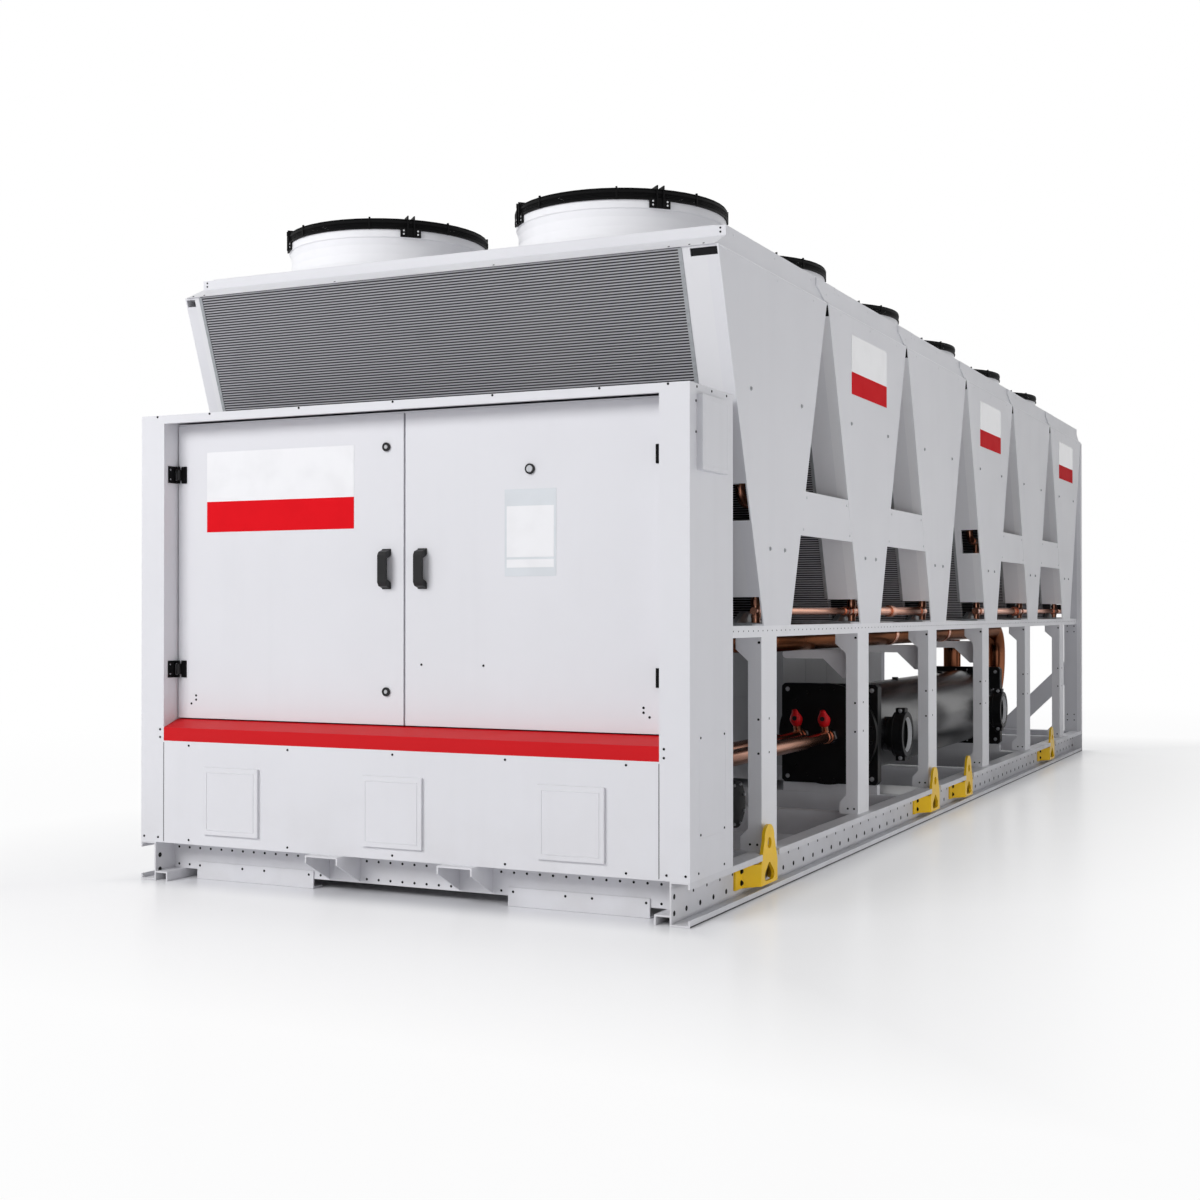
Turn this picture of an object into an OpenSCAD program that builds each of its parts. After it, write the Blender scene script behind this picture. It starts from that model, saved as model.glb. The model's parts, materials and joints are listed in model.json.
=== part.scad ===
// Air cooled water chiller: six condenser modules on a channel base, with a control cabinet
// at the front. The doors face -Y, +X is to the right seen from the front, +Z is up.
// Lengths in mm. The drawing is laid out from the front plane of the cabinet (y = 0) and is
// then moved so that the origin lies at the middle of the footprint, on the floor.

/* [Overall] */
// width over the base rails
width = 2260; // [2200:10:2320]
// length of one condenser module, front to back
module_pitch = 1202; // [1190:2:1220]
// height of the underside of the fan deck
deck_base = 2255; // [2200:5:2300]

/* [Base] */
// height of the base rails
rail_height = 145; // [140:1:155]
// reach of the rail flanges
rail_flange = 65; // [60:1:70]
// sheet thickness of rails and beams
rail_sheet = 6; // [5:0.5:8]
// height of the turned-up lips on the rail flanges
rail_lip = 22; // [16:1:26]
// width of a base cross beam
beam_width = 60; // [50:1:64]
// width of a front support bracket
bracket_width = 139; // [120:1:160]
// reach of the support brackets in front of the cabinet
bracket_reach = 40; // [20:1:60]
// distance of the support brackets from the middle
bracket_x = 275; // [240:1:310]
// height of the front foot plates
foot_plate_height = 65; // [50:1:80]
// length of a front foot plate
foot_plate_length = 536; // [480:1:560]
// distance of the foot plates from the rails
foot_plate_gap = 115; // [90:1:140]

/* [Lifting lugs] */
// width of the lug plate
lug_width = 171; // [150:1:190]
// thickness of the lug plate
lug_plate = 12; // [10:1:16]
// radius of the shackle hole
lug_hole_r = 20; // [16:0.5:24]
// radius of the rounded lug top
lug_top_r = 52; // [46:1:56]
// height of the eye of the lug
lug_hole_z = 177; // [172:1:182]
// height of the middle of the rounded lug top
lug_top_z = 193; // [190:1:198]
// length of the slanted legs of the lug along the rail
lug_leg = 56; // [40:1:70]

/* [Cabinet] */
// depth of the control cabinet
cabinet_depth = 385; // [360:5:410]
// drop of the cabinet roof below the fan deck
cabinet_drop = 494; // [460:1:530]
// width of the corner columns
column_width = 108; // [96:1:120]
// depth of the doors behind the front plane
door_recess = 78; // [72:1:90]
// height of the underside of the sill band
sill_z = 530; // [500:5:560]
// height of the upright face of the sill band
sill_face = 50; // [40:1:60]
// rise of the sloping top of the sill band
sill_rise = 28; // [15:1:40]
// side of a knock-out cover on the lower panel
knockout = 250; // [220:1:280]
// how far a knock-out cover stands proud
knockout_proud = 11; // [6:1:14]
// spacing of the knock-out covers
knockout_pitch = 703; // [640:1:720]

/* [Doors] */
// clearance around each door
door_clear = 5; // [5:0.5:7]
// clearance between the two doors
door_split = 8; // [7:0.5:12]
// depth of the turned door edges
door_edge = 25; // [18:1:32]
// sheet thickness of the doors
door_sheet = 4; // [3:0.5:5]
// distance of the hinge axis in front of the door face
hinge_reach = 12; // [11:0.5:13]
// distance of the hinge axis from the column
hinge_inset = 14; // [14:0.5:16]
// reach of a hinge leaf over its door
hinge_leaf = 30; // [22:1:34]
// height of a hinge knuckle
hinge_height = 40; // [36:1:44]
// outer radius of a hinge knuckle
knuckle_r = 8; // [7:0.5:8.5]
// radius of a hinge pin
hinge_pin_r = 4; // [3:0.5:5]
// clearance of the knuckle around its pin
pin_clear = 0.3; // [0.2:0.1:0.5]
// height of a door handle
handle_height = 140; // [120:1:160]
// width of a door handle
handle_width = 34; // [26:1:40]
// reach of a door handle in front of the door
handle_reach = 36; // [30:1:44]
// thickness of the grip of a door handle
handle_grip = 13; // [10:1:16]
// distance of the handles from the middle
handle_x = 75; // [60:1:90]
// height of the middle of the handles
handle_z = 1170; // [1100:1:1240]

/* [Frame] */
// width of a post along the machine
post_width = 164; // [150:1:180]
// depth of a post across the machine
post_depth = 52; // [46:1:56]
// height of the underside of the upper beams
beam_z = 925; // [915:1:940]
// height of the upper beams
beam_height = 42; // [36:1:50]
// width of the upper beams
beam_reach = 100; // [90:1:108]
// depth of the rear corner posts
rear_post = 40; // [30:1:50]
// face of the rear corner posts
rear_face = 91; // [80:1:100]
// reach of the rear brace along the base
brace_run = 520; // [480:1:560]
// reach of the rear brace up its post
brace_rise = 510; // [470:1:550]
// face of the rear brace along the base
brace_face = 173; // [140:1:190]
// inner edge of the rear panel, from the middle
rear_panel_in = 352; // [300:1:400]

/* [Condenser modules] */
// width of a side panel at its foot
panel_foot = 292; // [270:1:320]
// gap between two side panels at the top
panel_gap = 16; // [8:1:24]
// depth of the side panel edges
panel_edge = 45; // [36:1:50]
// sheet thickness of the side panels
panel_sheet = 5; // [4:0.5:6]
// thickness of a condenser coil
coil_thickness = 40; // [30:1:50]
// width of the cover over the coil ends on the right side
coil_cover = 91; // [80:1:100]
// width of the coil header on the left side
coil_header = 28; // [20:1:36]
// height of the open foot of the right coil covers above the manifolds
cover_rise = 50; // [40:1:60]
// strip beside the coil that the windows in the right covers leave whole
cover_strip = 32; // [26:1:40]
// rise of the foot pieces under the right ends of the coils
foot_rise = 39; // [30:1:44]
// lower edge of the windows in the right covers
window_z = 1340; // [1330:1:1360]
// height of the windows in the right covers
window_height = 128; // [110:1:140]
// height of the slots at the head of the right covers
slot_height = 26; // [20:1:30]
// lower edge of the bridge plates
bridge_z = 1310; // [1280:5:1330]
// height of the bridge plates
bridge_height = 172; // [150:1:190]

/* [Fan deck] */
// height of the deck
deck_height = 85; // [75:1:95]
// height of the sloping deck border
deck_slope = 50; // [40:1:60]
// width of the sloping deck border
deck_border = 105; // [95:1:110]
// sheet thickness of the deck
deck_sheet = 5; // [4:0.5:8]

/* [Fans] */
// distance of the fans from the middle
fan_x = 524; // [500:1:560]
// offset of the fans from the middle of the module
fan_offset = -60; // [-66:1:-20]
// outer radius of the shroud rim
fan_radius = 400; // [388:1:406]
// height of a shroud
shroud_height = 149; // [140:1:160]
// height of the shroud rim band
shroud_band = 32; // [26:1:38]
// height of a guard
guard_height = 41; // [36:1:48]
// gap between the twin plates of a guard arm
arm_gap = 20; // [14:1:30]
// width of the clips that hold the guard on the shroud
clip_width = 80; // [70:1:100]
// radius of a fan motor
motor_radius = 75; // [65:1:85]
// number of blades on a fan
blade_count = 7; // [5:1:9]
// chord of a fan blade
blade_chord = 140; // [110:1:150]

/* [Evaporator] */
// outer diameter of the shell
shell_diameter = 440; // [420:2:460]
// side of the square end plates
plate_side = 480; // [464:2:500]
// cut of the corners of the end plates
plate_corner = 14; // [8:1:20]
// thickness of the end plates
plate_thickness = 60; // [45:1:75]
// diameter of the round front head
head_diameter = 486; // [470:2:500]
// thickness of the round front head
head_thickness = 35; // [25:1:45]
// height of the shell axis above the floor
shell_z = 430; // [425:1:445]
// outer diameter of the water pipes
water_pipe = 168; // [160:0.5:170]
// clearance of the coupling bore around a pipe, on the radius
coupling_clear = 0.5; // [0.3:0.1:0.8]
// wall of a coupling
coupling_wall = 22; // [16:1:26]
// length of a coupling
coupling_length = 62; // [54:1:68]
// length of the coupling bore that holds a pipe
coupling_grip = 23; // [20:1:25]

/* [Pipework] */
// outer diameter of the suction pipes
suction_pipe = 108; // [100:1:112]
// gap between the suction pipes and the coil trays
suction_gap = 9; // [6:1:16]
// bend radius of the suction pipes at the evaporator
suction_bend = 150; // [120:1:170]
// outer diameter of the liquid lines
liquid_pipe = 54; // [46:1:60]
// bend radius of the liquid lines
liquid_bend = 80; // [70:1:95]
// outer diameter of the sleeves on the liquid lines
liquid_sleeve = 68; // [60:1:74]
// lean of the valves on the liquid lines, in degrees
valve_lean = 26; // [15:1:35]
// outer diameter of a valve stem
valve_stem = 40; // [32:1:44]
// outer diameter of a valve cap
valve_cap = 60; // [50:1:66]
// height of a valve cap
valve_cap_height = 80; // [60:1:90]
// outer diameter of the coil manifolds
manifold_pipe = 38; // [34:1:44]
// outer diameter of the branches to the coils
branch_pipe = 28; // [22:1:32]
// outer diameter of the risers
riser_pipe = 32; // [30:0.5:34]
// outer diameter of the coil headers
header_pipe = 36; // [35:0.5:37]
// distance of the headers from the middle of a module
header_reach = 160; // [140:2:180]
// bend radius at the foot of a header
header_bend = 50; // [40:2:60]
// straight length of a header
header_length = 140; // [100:5:160]
// height of the header branch above the foot of the cover window
branch_rise = 76; // [60:1:90]

/* [Compressors] */
// gap between the compressor enclosures and the left posts
enclosure_gap = 5; // [5:1:20]
// right side of the compressor enclosures
enclosure_right = 60; // [40:1:80]
// length of a compressor enclosure
enclosure_length = 2000; // [1900:10:2100]
// free length between the two enclosures
enclosure_space = 1540; // [1440:10:1640]
// height of the seam around the enclosures
seam_z = 525; // [480:1:560]

/* [Vessel] */
// diameter of the liquid receiver
receiver_diameter = 140; // [120:1:150]
// diameter of the receiver end flange
receiver_flange = 172; // [160:1:190]
// height of the receiver axis above the floor
receiver_z = 311; // [300:1:330]
// inner end of the liquid receiver, from the middle
receiver_start = 150; // [130:1:170]
// distance of a receiver saddle from the end of the receiver
saddle_inset = 130; // [115:1:150]

/* [Hidden] */
$fn = 64;
paint = [0.86, 0.86, 0.88];
frame_paint = [0.78, 0.78, 0.80];
red_paint = [0.78, 0.10, 0.13];
yellow_paint = [0.94, 0.82, 0.12];
black = [0.06, 0.06, 0.07];
copper = [0.72, 0.42, 0.28];
coil_grey = [0.40, 0.41, 0.43];
zinc = [0.66, 0.67, 0.68];
modules = 6;
half_w = width / 2;
module_start = cabinet_depth - 145;
modules_end = module_start + modules * module_pitch;
base_length = modules_end + 4 + rear_post;
front_y = -(base_length - bracket_reach) / 2;
web_out = half_w - rail_flange;
web_in = web_out - rail_sheet;
ledge_top = 35;
ledge_in = web_in - 55;
front_beam_y = 107;
foot_out = web_in - foot_plate_gap;
foot_in = foot_out - foot_plate_length;
lug_ys = [770, 3195, 3920, 6340];
lug_face = half_w - rail_sheet;
lug_foot = 30;
lug_shoulder = 110;
floor_z = rail_height;
floor_top = floor_z + 10;
cabinet_top = deck_base - cabinet_drop;
roof_z = cabinet_top - 31;
column_in = half_w - column_width;
door_in = column_in - door_clear;
door_z = sill_z + sill_face + sill_rise + door_clear;
door_top = roof_z - door_clear;
hinge_x = column_in - hinge_inset;
hinge_y = door_recess - hinge_reach;
hinge_zs = [door_z + 186, door_top - 186];
post_face = half_w - 33;
post_in = post_face - post_depth;
beam_top = beam_z + beam_height;
beam_in = post_face - beam_reach;
rear_y = modules_end + 4;
rear_out = half_w - 30;
rear_in = rear_out - rear_face;
panel_half_top = (module_pitch - panel_gap) / 2;
panel_half_foot = panel_foot / 2;
panel_lean = (panel_half_top - panel_half_foot) / (deck_base - beam_top);
panel_in = half_w - panel_edge;
edge_run = panel_sheet * sqrt(1 + panel_lean * panel_lean);
coil_run = coil_thickness * sqrt(1 + panel_lean * panel_lean);
tray_top = beam_top + 10;
foot_half = panel_half_foot - 6;
coil_right = panel_in - coil_cover;
coil_left = -panel_in + coil_header;
deck_top = deck_base + deck_height;
deck_half = half_w - 10;
rim_top = deck_top + shroud_height;
guard_top = rim_top + guard_height;
throat = fan_radius - 20;
evap_x = half_w - 405;
evap_front = module_start + 2.069 * module_pitch;
evap_rear = evap_front + 2.265 * module_pitch;
shell_r = shell_diameter / 2;
nozzle_ys = [evap_front + 245, evap_rear - 260];
coupling_face = half_w - 85;
nozzle_end = coupling_face - coupling_length / 2 - 4;
seal_from = coupling_face - coupling_length + coupling_grip;
seal_to = coupling_face - coupling_grip;
head_front = evap_front - head_thickness;
pipe_r = water_pipe / 2;
front_enclosure = cabinet_depth + 35;
rear_enclosure = front_enclosure + enclosure_length + enclosure_space;
receiver_y = front_enclosure + 345;
cross_ys = [front_beam_y, receiver_y - 30, front_enclosure + 1590, evap_front,
            rear_enclosure + 240, evap_rear, mid(5) - 30];
suction_r = suction_pipe / 2;
suction_xs = [evap_x - 125, evap_x + 125];
suction_z = beam_top - suction_gap - suction_r;
suction_turns = [rear_enclosure + 440, front_enclosure + 1080];
suction_drops = [60, 81];
// bends at the foot: the inner run rises straight, the outer one in a wide sweep
suction_feet = [suction_bend, suction_z - shell_z - suction_bend - 24];
arm_top = suction_z - suction_r;
drop_bend = 100;
enclosure_top = suction_z - drop_bend;
liquid_r = liquid_pipe / 2;
liquid_z = shell_z - 10;
liquid_xs = [evap_x - 120, evap_x + 18];
liquid_turns = [front_enclosure + 830, front_enclosure + 590];
valve_y = head_front - 62;
sleeve_end = head_front - 400;
manifold_x = coil_right + 51;
manifold_z = tray_top + 43;
cover_foot = manifold_z + cover_rise;
window_top = window_z + window_height;
branch_z = window_z + branch_rise;
receiver_r = receiver_diameter / 2;
receiver_end = half_w - 130;

// middle of a condenser module along the machine
function mid(i) = module_start + (i + 0.5) * module_pitch;
// half the width of a side panel at a height
function half_at(z) = panel_half_foot + (z - beam_top) * panel_lean;

// moves a piece from the front plane to the middle of the footprint
module seat() {
  translate([0, front_y, 0]) children();
}

// a piece and its twin across the middle plane
module both() {
  children();
  mirror([1, 0, 0]) children();
}

// outline in y and z, drawn out along x
module along_x(x0, x1) {
  translate([x0, 0, 0]) rotate([90, 0, 90]) linear_extrude(x1 - x0) children();
}

// outline in x and z, drawn out along y
module along_y(y0, y1) {
  translate([0, y1, 0]) rotate([90, 0, 0]) linear_extrude(y1 - y0) children();
}

// block between two corners
module block(a, b) {
  translate(a) cube([b[0] - a[0], b[1] - a[1], b[2] - a[2]]);
}

// rectangle between two corners
module plate(a, b) {
  translate(a) square([b[0] - a[0], b[1] - a[1]]);
}

// pipe along y
module pipe_y(x, z, y0, y1, r) {
  translate([x, y1, z]) rotate([90, 0, 0]) cylinder(r = r, h = y1 - y0);
}

// pipe along x
module pipe_x(y, z, x0, x1, r) {
  translate([x0, y, z]) rotate([0, 90, 0]) cylinder(r = r, h = x1 - x0);
}

// quarter bend in the plane of x and y about its own centre
module bend(run, r) {
  rotate_extrude(angle = 90) translate([run, 0]) circle(r = r);
}

// base rail: channel with lips, and a ledge along the inside for the cross beams
module rail_section() {
  plate([web_in, 0], [web_out, rail_height]);
  plate([web_in, 0], [half_w, rail_sheet]);
  plate([web_in, rail_height - rail_sheet], [half_w, rail_height]);
  plate([half_w - rail_sheet, rail_height - rail_lip], [half_w, rail_height]);
  plate([half_w - rail_sheet, 0], [half_w, rail_lip]);
  plate([ledge_in, ledge_top - rail_sheet], [web_in + 1, ledge_top]);
  plate([ledge_in, 0], [ledge_in + rail_sheet, ledge_top]);
}

module base_rails() {
  color(frame_paint) seat() both() difference() {
    along_y(0, base_length) rail_section();
    for (y = lug_ys)
      block([lug_face - lug_plate - 4, y - lug_width / 2 - 4, rail_height - rail_lip - 1],
            [half_w + 1, y + lug_width / 2 + 4, rail_height + 1]);
  }
}

// cross beams between the rails, resting on the ledges
module cross_section() {
  plate([0, ledge_top], [rail_sheet, rail_height]);
  plate([0, ledge_top], [beam_width, ledge_top + rail_sheet]);
  plate([0, rail_height - rail_sheet], [beam_width, rail_height]);
}

module base_cross_beams() {
  color(frame_paint) seat() {
    for (y = cross_ys)
      translate([0, y, 0]) along_x(-web_in, web_in) cross_section();
    translate([0, base_length, 0]) mirror([0, 1, 0]) along_x(-web_in, web_in) cross_section();
  }
}

module front_foot_plates() {
  color(frame_paint) seat() both() {
    block([foot_in, front_beam_y - rail_sheet, 0], [foot_out, front_beam_y, foot_plate_height]);
    block([foot_in, front_beam_y - 1, 0], [foot_out, front_beam_y + 50, rail_sheet]);
  }
}

// support bracket: a cap on two gussets, carried by the front beam
module front_brackets() {
  color(frame_paint) seat() both() translate([bracket_x - bracket_width / 2, 0, 0]) {
    block([0, -bracket_reach, rail_height - rail_sheet],
          [bracket_width, front_beam_y, rail_height]);
    for (x = [0, bracket_width - rail_sheet])
      along_x(x, x + rail_sheet)
        polygon([[-bracket_reach, rail_height - 28], [front_beam_y, ledge_top + 5],
                 [front_beam_y, rail_height], [-bracket_reach, rail_height]]);
  }
}

// lifting lug: eye plate held off the rail web by two legs
module lug_outline() {
  difference() {
    union() {
      polygon([[-lug_width / 2, lug_foot], [lug_width / 2, lug_foot],
               [lug_width / 2, lug_shoulder], [lug_top_r, lug_top_z],
               [-lug_top_r, lug_top_z], [-lug_width / 2, lug_shoulder]]);
      translate([0, lug_top_z]) circle(r = lug_top_r);
    }
    translate([0, lug_hole_z]) circle(r = lug_hole_r);
    // three-cornered opening
    translate([0, 94]) circle(r = 14);
    for (y = [-32, 32]) translate([y, 60]) circle(r = 18);
    polygon([[-11, 103], [-45, 73], [-32, 42], [32, 42], [45, 73], [11, 103]]);
  }
}

module lifting_lugs() {
  color(yellow_paint) seat() both() for (y = lug_ys) translate([0, y, 0]) {
    along_x(lug_face - lug_plate, lug_face) lug_outline();
    for (s = [-1, 1]) {
      translate([0, 0, lug_foot]) linear_extrude(lug_shoulder - lug_foot)
        polygon([for (q = [[web_out, lug_leg - 2], [web_out + 8, lug_leg + 6], [lug_face, 0],
                           [lug_face - lug_plate, -12]]) [q[0], s * (lug_width / 2 + q[1])]]);
      block([web_out, s * (lug_width / 2 + lug_leg + 35) - 37, lug_foot],
            [web_out + 8, s * (lug_width / 2 + lug_leg + 35) + 37, lug_shoulder]);
    }
  }
}

module cabinet_floor() {
  color(paint) seat() block([-half_w, 0, floor_z], [half_w, cabinet_depth, floor_top]);
}

// corner columns of the cabinet
module cabinet_columns() {
  color(paint) seat() both()
    block([column_in, 0, floor_top], [half_w, cabinet_depth, roof_z]);
}

// roof tray with a rim all round
module cabinet_roof() {
  color(paint) seat() difference() {
    block([-half_w, 0, roof_z], [half_w, cabinet_depth, cabinet_top]);
    block([-column_in, 20, roof_z - 1], [column_in, cabinet_depth - 20, cabinet_top - 6]);
  }
}

module cabinet_back() {
  color(paint) seat()
    block([-column_in, cabinet_depth - 10, floor_top], [column_in, cabinet_depth, roof_z]);
}

// plate for the electrical gear, on the inside of the cabinet back
module mounting_plate() {
  color(zinc) seat()
    block([60 - column_in, cabinet_depth - 16, door_z + 30],
          [column_in - 60, cabinet_depth - 10, door_top - 60]);
}

// lower front panel with three knock-out covers for cables
module lower_panel() {
  color(paint) seat() {
    block([-column_in, 0, floor_top], [column_in, 6, sill_z]);
    for (i = [-1, 0, 1])
      block([i * knockout_pitch - knockout / 2, -knockout_proud, floor_top + 33],
            [i * knockout_pitch + knockout / 2, 1, floor_top + 33 + knockout]);
  }
}

module sill_band() {
  color(red_paint) seat() along_x(-column_in, column_in)
    polygon([[0, sill_z], [0, sill_z + sill_face], [door_recess, sill_z + sill_face + sill_rise],
             [door_recess + 30, sill_z + sill_face + sill_rise],
             [door_recess + 30, sill_z + sill_face + sill_rise - 6],
             [door_recess, sill_z + sill_face + sill_rise - 6],
             [6, sill_z + sill_face - 6], [6, sill_z]]);
}

// fixed hinge halves on the columns: two ears and the pin between them
module hinge_brackets() {
  color(black) seat() both() for (z = hinge_zs) translate([0, 0, z]) {
    for (s = [-1, 1])
      translate([0, 0, s * (hinge_height / 2 + 7)])
        block([hinge_x - 4, hinge_y - 10, -5], [column_in, hinge_y + 4, 5]);
    translate([hinge_x, hinge_y, -hinge_height / 2 - 9])
      cylinder(r = hinge_pin_r, h = hinge_height + 18);
  }
}

// door: sheet with turned edges
module door() {
  difference() {
    block([door_split / 2, door_recess, door_z], [door_in, door_recess + door_edge, door_top]);
    block([door_split / 2 + door_sheet, door_recess + door_sheet, door_z + door_sheet],
          [door_in - door_sheet, door_recess + door_edge + 1, door_top - door_sheet]);
  }
}

// bow handle and moving hinge halves of a door
module door_fittings() {
  h = handle_height / 2;
  bow = handle_reach - handle_grip;
  translate([handle_x, door_recess, handle_z]) along_x(-handle_width / 2, handle_width / 2)
    difference() {
      polygon([[0, -h], [0, h], [8 - handle_reach, h - 9], [-handle_reach, h - 22],
               [-handle_reach, 22 - h], [8 - handle_reach, 9 - h]]);
      polygon([[1, 23 - h], [1, h - 23], [-bow, h - 33], [-bow, 33 - h]]);
    }
  for (z = hinge_zs) translate([hinge_x, hinge_y, z - hinge_height / 2]) difference() {
    union() {
      cylinder(r = knuckle_r, h = hinge_height);
      block([-knuckle_r, 0, 0], [knuckle_r, hinge_reach, hinge_height]);
      block([-hinge_leaf, hinge_reach - 4, 0], [0, hinge_reach, hinge_height]);
    }
    translate([0, 0, -1]) cylinder(r = hinge_pin_r + pin_clear, h = hinge_height + 2);
  }
}

module left_door() {
  color(paint) seat() mirror([1, 0, 0]) door();
}

// left fittings: handle, hinges and two locks
module left_door_fittings() {
  color(black) seat() {
    mirror([1, 0, 0]) door_fittings();
    for (z = [door_z + 118, door_top - 118])
      translate([-handle_x, door_recess, z]) rotate([90, 0, 0]) cylinder(d = 27, h = 6);
  }
}

module right_door() {
  color(paint) seat() door();
}

// right fittings: handle, hinges and a round port
module right_door_fittings() {
  color(black) seat() {
    door_fittings();
    translate([column_in / 2 - 4, door_recess, door_top - 218])
      rotate([90, 0, 0]) cylinder(d = 36, h = 7);
  }
}

// post: channel open to the inside, its sides wider at the head and the foot
module post() {
  block([post_face - rail_sheet, -post_width / 2, rail_height],
        [post_face, post_width / 2, beam_z]);
  for (y = [-post_width / 2, post_width / 2 - rail_sheet])
    along_y(y, y + rail_sheet)
      polygon([[post_in - 30, rail_height], [post_face, rail_height], [post_face, beam_z],
               [beam_in, beam_z], [beam_in, beam_z - 45], [post_in, beam_z - 88],
               [post_in, rail_height + 80], [post_in - 30, rail_height + 50]]);
}

module posts_left() {
  color(frame_paint) seat() mirror([1, 0, 0])
    for (i = [0 : modules - 1]) translate([0, mid(i), 0]) post();
}

module posts_right() {
  color(frame_paint) seat() for (i = [0 : modules - 1]) translate([0, mid(i), 0]) post();
}

// upper beams: channels on the posts, open to the inside
module upper_beams() {
  color(frame_paint) seat() both() along_y(cabinet_depth, rear_y) {
    plate([post_face - rail_sheet, beam_z], [post_face, beam_top]);
    plate([beam_in, beam_z], [post_face, beam_z + rail_sheet]);
    plate([beam_in, beam_top - rail_sheet], [post_face, beam_top]);
  }
}

// haunched arms on three posts, under the outer suction pipe
module pipe_arms() {
  color(frame_paint) seat() for (i = [1, 2, 3])
    along_y(mid(i) - 24, mid(i) + 24) union() {
      plate([suction_xs[1] - 95, arm_top - 38], [post_face - rail_sheet, arm_top]);
      translate([suction_xs[1] - 95, arm_top - 19]) circle(r = 19);
      polygon([[post_in - 130, arm_top - 30], [post_face - rail_sheet, arm_top - 30],
               [post_face - rail_sheet, arm_top - 122], [post_in - 32, arm_top - 122]]);
    }
}

// rear corner posts and the diagonal brace
module rear_frame() {
  color(frame_paint) seat() {
    both() block([rear_in, rear_y, rail_height], [rear_out, base_length, deck_base - 5]);
    along_y(base_length - 12, base_length)
      polygon([[rear_in - brace_run, rail_height], [rear_in - brace_run + brace_face, rail_height],
               [rear_in + 1, rail_height + brace_rise * (1 - brace_face / brace_run)],
               [rear_in + 1, rail_height + brace_rise]]);
  }
}

module rear_panel() {
  color(paint) seat()
    block([-rear_in, base_length - 12, rail_height],
          [-rear_panel_in, base_length - 6, beam_z]);
}

// side panel of a module: a tray that narrows to its foot
module v_panel(i) {
  difference() {
    along_x(panel_in, half_w)
      polygon([[mid(i) - panel_half_foot, beam_top], [mid(i) + panel_half_foot, beam_top],
               [mid(i) + panel_half_top, deck_base], [mid(i) - panel_half_top, deck_base]]);
    along_x(panel_in - 1, half_w - panel_sheet) {
      a = half_at(beam_top + panel_sheet) - edge_run;
      b = half_at(deck_base - panel_sheet) - edge_run;
      polygon([[mid(i) - a, beam_top + panel_sheet], [mid(i) + a, beam_top + panel_sheet],
               [mid(i) + b, deck_base - panel_sheet], [mid(i) - b, deck_base - panel_sheet]]);
    }
    block([panel_in - 1, mid(i) - module_pitch / 2, deck_base - slot_height - 7],
          [half_w - panel_sheet, mid(i) + module_pitch / 2, deck_base - 7]);
  }
}

module v_panels_left() {
  color(paint) seat() mirror([1, 0, 0]) for (i = [0 : modules - 1]) v_panel(i);
}

module v_panels_right() {
  color(paint) seat() for (i = [0 : modules - 1]) v_panel(i);
}

// plates that tie neighbouring side panels together
module bridge_plates() {
  z0 = bridge_z;
  z1 = bridge_z + bridge_height;
  color(paint) seat() both() for (i = [0, 1, 3, 4])
    along_x(half_w - 6, half_w - 1)
      polygon([[mid(i) + half_at(z0), z0], [mid(i + 1) - half_at(z0), z0],
               [mid(i + 1) - half_at(z1), z1], [mid(i) + half_at(z1), z1]]);
}

module coil_trays() {
  color(zinc) seat() for (i = [0 : modules - 1])
    block([-panel_in, mid(i) - panel_half_foot, beam_top],
          [panel_in, mid(i) + panel_half_foot, tray_top]);
  // foot pieces under the right ends of the coils
  color(zinc) seat() for (i = [0 : modules - 1]) along_x(coil_right + 4, coil_right + 26)
    polygon([[mid(i) - foot_half, tray_top - 1], [mid(i) + foot_half, tray_top - 1],
             [mid(i) + foot_half - 2.5 * foot_rise, tray_top + foot_rise],
             [mid(i) - foot_half + 2.5 * foot_rise, tray_top + foot_rise]]);
}

// sloping slab of the front half of a module, between two heights
module slab(i, z0, z1) {
  polygon([[mid(i) - half_at(z1), z1], [mid(i) - half_at(z1) + coil_run, z1],
           [mid(i) - half_at(z0) + coil_run, z0], [mid(i) - half_at(z0), z0]]);
}

// the same slab in the rear half
module slab_rear(i, z0, z1) {
  polygon([[mid(i) + half_at(z1), z1], [mid(i) + half_at(z1) - coil_run, z1],
           [mid(i) + half_at(z0) - coil_run, z0], [mid(i) + half_at(z0), z0]]);
}

module coils_front() {
  color(coil_grey) seat() for (i = [0 : modules - 1])
    along_x(coil_left, coil_right) slab(i, tray_top, deck_base);
}

module coils_rear() {
  color(coil_grey) seat() for (i = [0 : modules - 1])
    along_x(coil_left, coil_right) slab_rear(i, tray_top, deck_base);
}

// right cover of a module: stops above the manifold, with a window for the riser and a top slot
module right_cover(i) {
  difference() {
    along_x(coil_right, panel_in) {
      slab(i, cover_foot, deck_base);
      slab_rear(i, cover_foot, deck_base);
    }
    for (z = [[window_z, window_top], [deck_base - slot_height - 7, deck_base - 7]])
      block([coil_right + cover_strip, mid(i) - module_pitch / 2, z[0]],
            [panel_in + 1, mid(i) + module_pitch / 2, z[1]]);
  }
}

// covers over the coil ends
module coil_covers() {
  color(paint) seat() for (i = [0 : modules - 1]) {
    right_cover(i);
    along_x(-panel_in, coil_left) slab(i, tray_top, deck_base);
    along_x(-panel_in, coil_left) slab_rear(i, tray_top, deck_base);
  }
}

// fan deck of a module: raised top with sloping borders, open below
module fan_deck() {
  h = module_pitch / 2 - 1;
  difference() {
    along_x(-deck_half, deck_half)
      polygon([[-h, deck_base], [h, deck_base], [h - deck_border, deck_base + deck_slope],
               [h - deck_border, deck_top], [deck_border - h, deck_top],
               [deck_border - h, deck_base + deck_slope]]);
    block([8 - deck_half, deck_border + 5 - h, deck_base - 1],
          [deck_half - 8, h - deck_border - 5, deck_top - deck_sheet]);
    for (x = [-fan_x, fan_x])
      translate([x, fan_offset, deck_base]) cylinder(r = throat, h = deck_height + 1);
  }
}

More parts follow.
